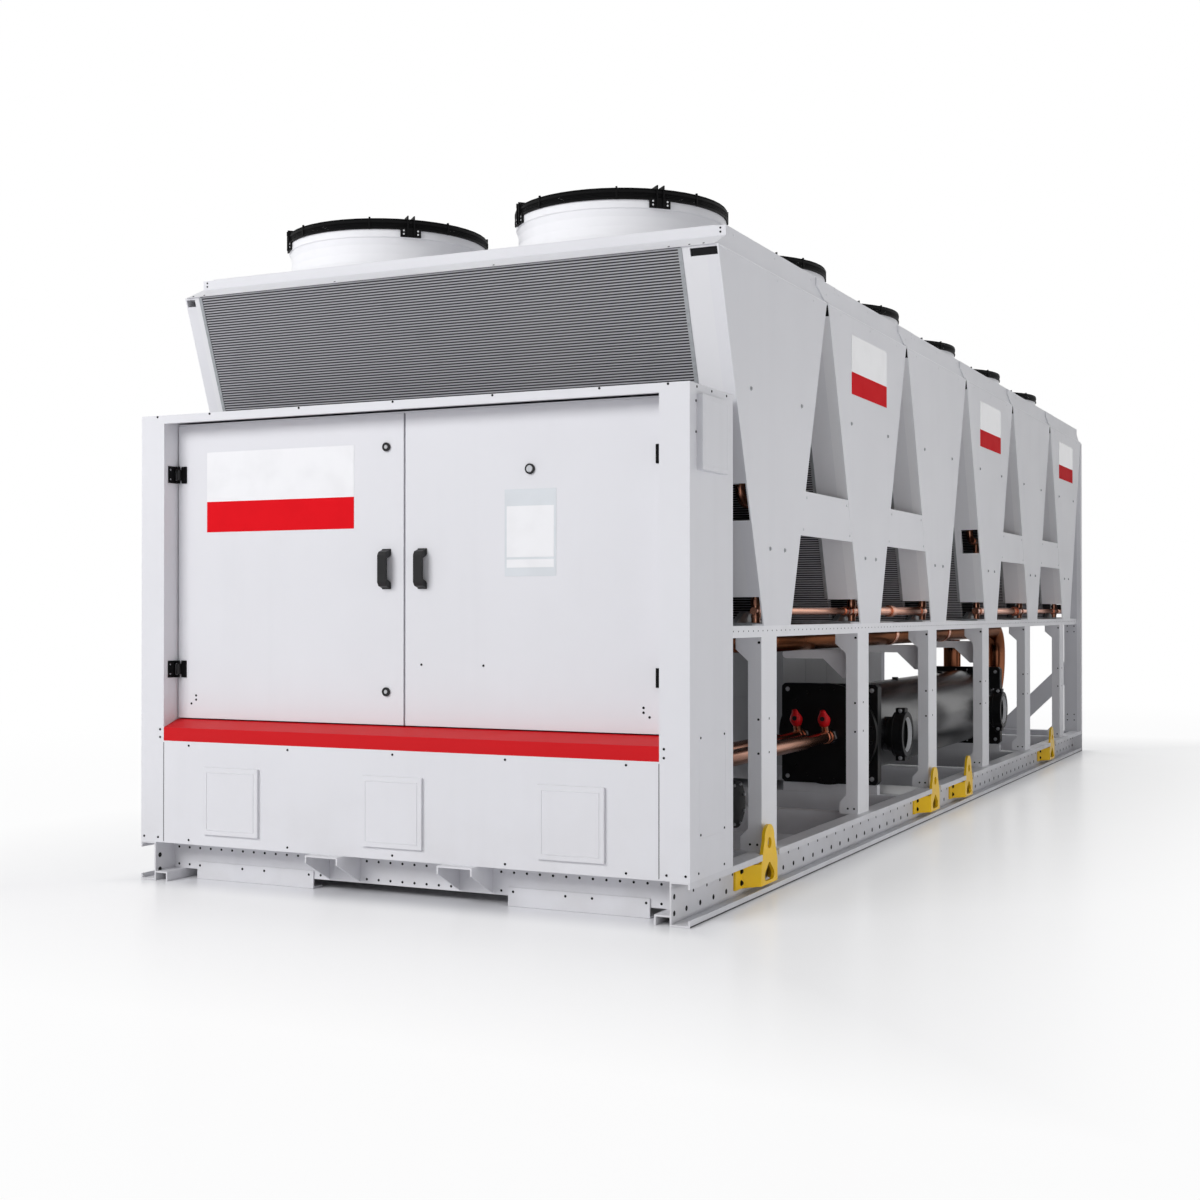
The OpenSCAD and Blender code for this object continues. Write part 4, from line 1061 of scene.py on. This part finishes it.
def evaporator():
    """Bolts of the end plates and heads, couplings, stubs on the shell and bolts of the receiver."""
    plate_faces = [(face, way) for faces in (FRONT_PLATE, REAR_PLATE)
                   for face, way in zip(faces, (FORWARD, BACK))]
    corner = 211
    corners = [((VESSEL_X + sx * corner, y, VESSEL_Z + sz * corner), way) for sx in BOTH for sz in BOTH
               for y, way in plate_faces]
    grow("plate_corner_bolts", BOLT, corners, PLATED, "zinc", head_radius=0.0075, head_height=0.004,
         washer_radius=0.0115, washer_height=0.0015)
    # the front head covers the first plate's face, and has screws of its own
    ring = [((VESSEL_X + dx, y, VESSEL_Z + dz), way) for dx, dz in bolt_circle(20, 226)
            for y, way in plate_faces[1:]]
    grow("head_ring_bolts", STUD, ring, PLATED, "zinc", head_radius=0.0062, head_height=0.005)
    cap = [((VESSEL_X + dx, 2692, VESSEL_Z + dz), FORWARD) for dx, dz in bolt_circle(20, 222)]
    grow("head_cap_screws", STUD, cap, VESSEL, "black_paint", head_radius=0.0085, head_height=0.006)

    # grooved couplings: ears with bolts, rims, and the pale sleeve in the bore
    ear_x, ear_reach, ear_half = 1014, 115, 26
    bolts = []
    bm_sleeve, bm_rim = bmesh.new(), bmesh.new()
    for y in COUPLING_YS:
        for s in BOTH:
            z = COUPLING_Z + s * ear_reach
            bolts += [((ear_x, y - ear_half, z), FORWARD), ((ear_x, y + ear_half, z), BACK)]
        collar(bm_sleeve, (1033, y, COUPLING_Z), RIGHT, 82.6, 84.45, 20, 48)
        for x in (1039, 989):
            collar(bm_rim, (x, y, COUPLING_Z), RIGHT, 105.5, 109, 11, 48)
    grow("coupling_bolts", BOLT, bolts, PLATED, "zinc", head_radius=0.008, head_height=0.007,
         washer_radius=0.011, washer_height=0.002)
    from_bmesh("coupling_sleeves", bm_sleeve, WHITE_SHEET)
    from_bmesh("coupling_rims", bm_rim, VESSEL)

    # small stubs for gauges and drains on the shell
    grow("shell_stubs", STUD, [((VESSEL_X, y, 624), UP) for y in (3900, 3300, 4900)], VESSEL,
         "black_paint", sides=20, head_radius=0.017, head_taper=1.0, head_height=0.036)

    receiver_face, receiver_y, receiver_z = 1000, 765, 311
    flange = [((receiver_face, receiver_y + dy, receiver_z + dz), RIGHT) for dy, dz in bolt_circle(8, 77)]
    grow("receiver_bolts", STUD, flange, PLATED, "zinc", head_radius=0.0062, head_height=0.005)


def valve_keys():
    """Valve caps: a round foot that swells, then narrows to a flat key with a hole to the front."""
    lean = math.radians(26)
    axis = Vector((0, -math.sin(lean), math.cos(lean)))
    ahead = Vector((0, -math.cos(lean), -math.sin(lean)))
    hole_facing = (ahead * 0.87 + axis * 0.49).normalized()
    # height above the foot, half width, half depth
    profile = ((0.3, 19, 19), (1.5, 22, 22), (14, 27, 27), (24, 30, 30), (33, 30, 29), (44, 27, 22),
               (54, 22, 16), (66, 16, 11), (77, 13, 9), (79.7, 11.5, 7.5))
    bm = bmesh.new()
    holes = []
    for x in LINE_XS:
        foot = Vector((x, 2630, LINE_Z)) + axis * 65
        loft(bm, [[foot + axis * up + Vector(RIGHT) * wide * c + ahead * deep * s for c, s in circle(28)]
                  for up, wide, deep in profile])
        holes.append((foot + axis * 45 + ahead * 20.6, hole_facing))
    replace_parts(from_bmesh("valve_keys", bm, RED, smooth=True), "valve_caps")
    dots("valve_key_holes", holes, 0.0115, slot="black_plastic", height=0.0026)


# y, pipe radius, outer radius and length of the sockets along the coil manifolds
MANIFOLD_SOCKETS = (
    (1937, 14, 19, 30), (1980, 14, 20, 34), (2104, 19, 24, 34), (2652, 19, 27, 52), (2696, 19, 23, 30),
    (3190, 19, 24, 34), (4502, 19, 24, 34), (5519, 19, 30, 46), (5470, 19, 24, 24), (5594, 19, 24, 30),
    (5704, 14, 20, 34), (6796, 14, 20, 34))


def copper_fittings():
    """Nuts where the liquid lines meet the head, brazed sockets, and the rear manifold's end."""
    bm = bmesh.new()
    for x in LINE_XS:
        collar(bm, (x, 2683, LINE_Z), BACK, 26.5, 34, 17, 6)
    from_bmesh("line_nuts", bm, PLATED)

    bm = bmesh.new()
    for x in LINE_XS:
        collar(bm, (x, 2652, LINE_Z), BACK, 26, 32, 26)
        collar(bm, (x, 2600, LINE_Z), BACK, 26, 30, 18)
    suction_z, header_z = 904, 1416
    for x, ys in ((600, (4400, 5360)), (850, (3300, 4400, 5360))):
        for y in ys:
            collar(bm, (x, y, suction_z), BACK, 53.5, 57.5, 46)
    for y, pipe, outer, length in MANIFOLD_SOCKETS:
        collar(bm, (MANIFOLD_X, y, MANIFOLD_Z), BACK, pipe - 0.3, outer, length)
    for mid in MIDS:
        collar(bm, (MANIFOLD_X, mid, 1052), UP, 15.8, 19.5, 22)
        collar(bm, (MANIFOLD_X, mid, 1000), UP, 15.8, 18.5, 10)
        for s in BOTH:
            collar(bm, (MANIFOLD_X, mid + s * 90, header_z), BACK, 17.8, 21, 26)
    from_bmesh("brazed_sockets", bm, COPPER)

    # end of the rear manifold, with its black clamp
    tail_end = 7112
    bm = bmesh.new()
    round_bar(bm, (MANIFOLD_X, 6870, MANIFOLD_Z), (MANIFOLD_X, tail_end, MANIFOLD_Z), 14, 20)
    from_bmesh("manifold_tail", bm, COPPER, smooth=True)
    bm = bmesh.new()
    box(bm, (1006, tail_end, 1002), (1062, tail_end + 30, 1068), 4)
    from_bmesh("manifold_clamp", bm, VESSEL)


def compressor_enclosures():
    """Screws and raised seams on the long sides of the enclosures."""
    right_face, left_face = 60, -1010
    screws = []
    for y0 in ENCLOSURE_YS:
        for k in range(8):
            y = y0 + 60 + 268 * k
            for z in (180, 500, 550, 780):
                screws += [((right_face, y, z), RIGHT), ((left_face, y, z), LEFT)]
    dots("housing_screws", screws, 0.0045, slot="zinc", height=0.0014)
    bm = bmesh.new()
    for y0 in ENCLOSURE_YS:
        for k in range(1, 5):
            y = y0 + 400 * k
            for x0, x1 in ((right_face - 0.5, right_face + 1.2), (left_face - 1.2, left_face + 0.5)):
                box(bm, (x0, y - 4, 160), (x1, y + 4, 790), 0.4)
    from_bmesh("housing_seams", bm, HOUSING)


fan_guards()
fan_decks()
panel_fasteners()
side_panels()
coil_edge_strips()
cabinet()
doors()
base_rails()
beams_and_posts()
evaporator()
valve_keys()
copper_fittings()
compressor_enclosures()


# ---------------------------------------------------------------- floor, light and camera

def build_floor(half_wide=1.1, half_long=3.7):
    """A pale floor that keeps the shade beside the machine and fades to white away from it."""
    bm = bmesh.new()
    bmesh.ops.create_grid(bm, x_segments=2, y_segments=2, size=70)
    mesh = bpy.data.meshes.new("studio_floor")
    bm.to_mesh(mesh)
    bm.free()
    obj = add_object("studio_floor", mesh)
    obj.location.z = -0.0008
    f = new_finish("studio_floor")
    x, y, _ = f.axes()
    beside = (abs(x) - half_wide).most(abs(y) - half_long)
    far = (beside.step(-0.06, 0.2) * 0.42 + beside.step(0.1, 1.65, smooth=False) * 0.5
           + beside.step(2.0, 7.0) * 0.08)
    f.dress(base_color=f.blend(f.noise(0.8, 3) * 0.3, srgb(243, 243, 246), srgb(238, 238, 242)),
            roughness=f.noise(3, 3) * 0.06 + 0.22, specular_ior_level=0.35)
    path = f.node("ShaderNodeLightPath", {}, {}, "Is Camera Ray")
    white = f.node("ShaderNodeEmission", {}, {"Color": (1, 1, 1, 1), "Strength": 1.0})
    mix = f.node("ShaderNodeMixShader", {}, {0: far * path, 1: Value(f, f.shader.outputs[0]), 2: white})
    f.tree.links.new(mix.socket, f.tree.nodes["Material Output"].inputs["Surface"])
    mesh.materials.append(f.owner)


def build_world():
    """Soft light from all round, and white where the camera or a reflection looks past the machine."""
    world = bpy.data.worlds.new("studio")
    scene.world = world
    f = Finish(world)
    path = f.node("ShaderNodeLightPath", {}, {}).socket.node
    seen = Value(f, path.outputs["Is Camera Ray"]).most(Value(f, path.outputs["Is Glossy Ray"]))
    seen = seen.most(Value(f, path.outputs["Is Transmission Ray"]))
    light = f.node("ShaderNodeBackground", {}, {"Color": (0.97, 0.98, 1.0, 1), "Strength": 0.335})
    white = f.node("ShaderNodeBackground", {}, {"Color": (1, 1, 1, 1), "Strength": 1.0})
    mix = f.node("ShaderNodeMixShader", {}, {0: seen, 1: light, 2: white})
    f.tree.links.new(mix.socket, f.tree.nodes["World Output"].inputs["Surface"])


def add_lamp(name, at, target, size, power):
    """A soft panel of light that looks at a target."""
    lamp = bpy.data.lights.new(name, "AREA")
    lamp.shape, lamp.size, lamp.size_y, lamp.energy = "RECTANGLE", size[0], size[1], power
    obj = add_object(name, lamp)
    obj.location = at
    obj.rotation_euler = (Vector(target) - Vector(at)).to_track_quat("-Z", "Y").to_euler()
    obj.visible_glossy = False


build_floor()
build_world()
add_lamp("key_panel", (-4.8, -14.2, 7.2), target=(0, -2.0, 1.0), size=(7, 5), power=1090)
add_lamp("side_panel", (8.0, -5.0, 1.5), target=(1.1, -2.2, 0.8), size=(4, 2.2), power=38)
add_lamp("low_panel", (3.7, -2.0, 0.35), target=(1.1, -2.0, 0.55), size=(5, 0.4), power=19)
add_lamp("back_panel", (-7.5, 8.5, 5.5), target=(0, 1.5, 1.2), size=(8, 5), power=400)

camera = bpy.data.cameras.new("camera")
camera.sensor_width, camera.lens = 36, 49.16
camera.clip_start, camera.clip_end = 0.1, 300
eye = add_object("camera", camera)
eye.location = (3.1532, -8.6034, 1.0176)
tilt, turn = 0.0071, 0.4481
eye.rotation_euler = (math.pi / 2 + tilt, 0, turn)
scene.camera = eye
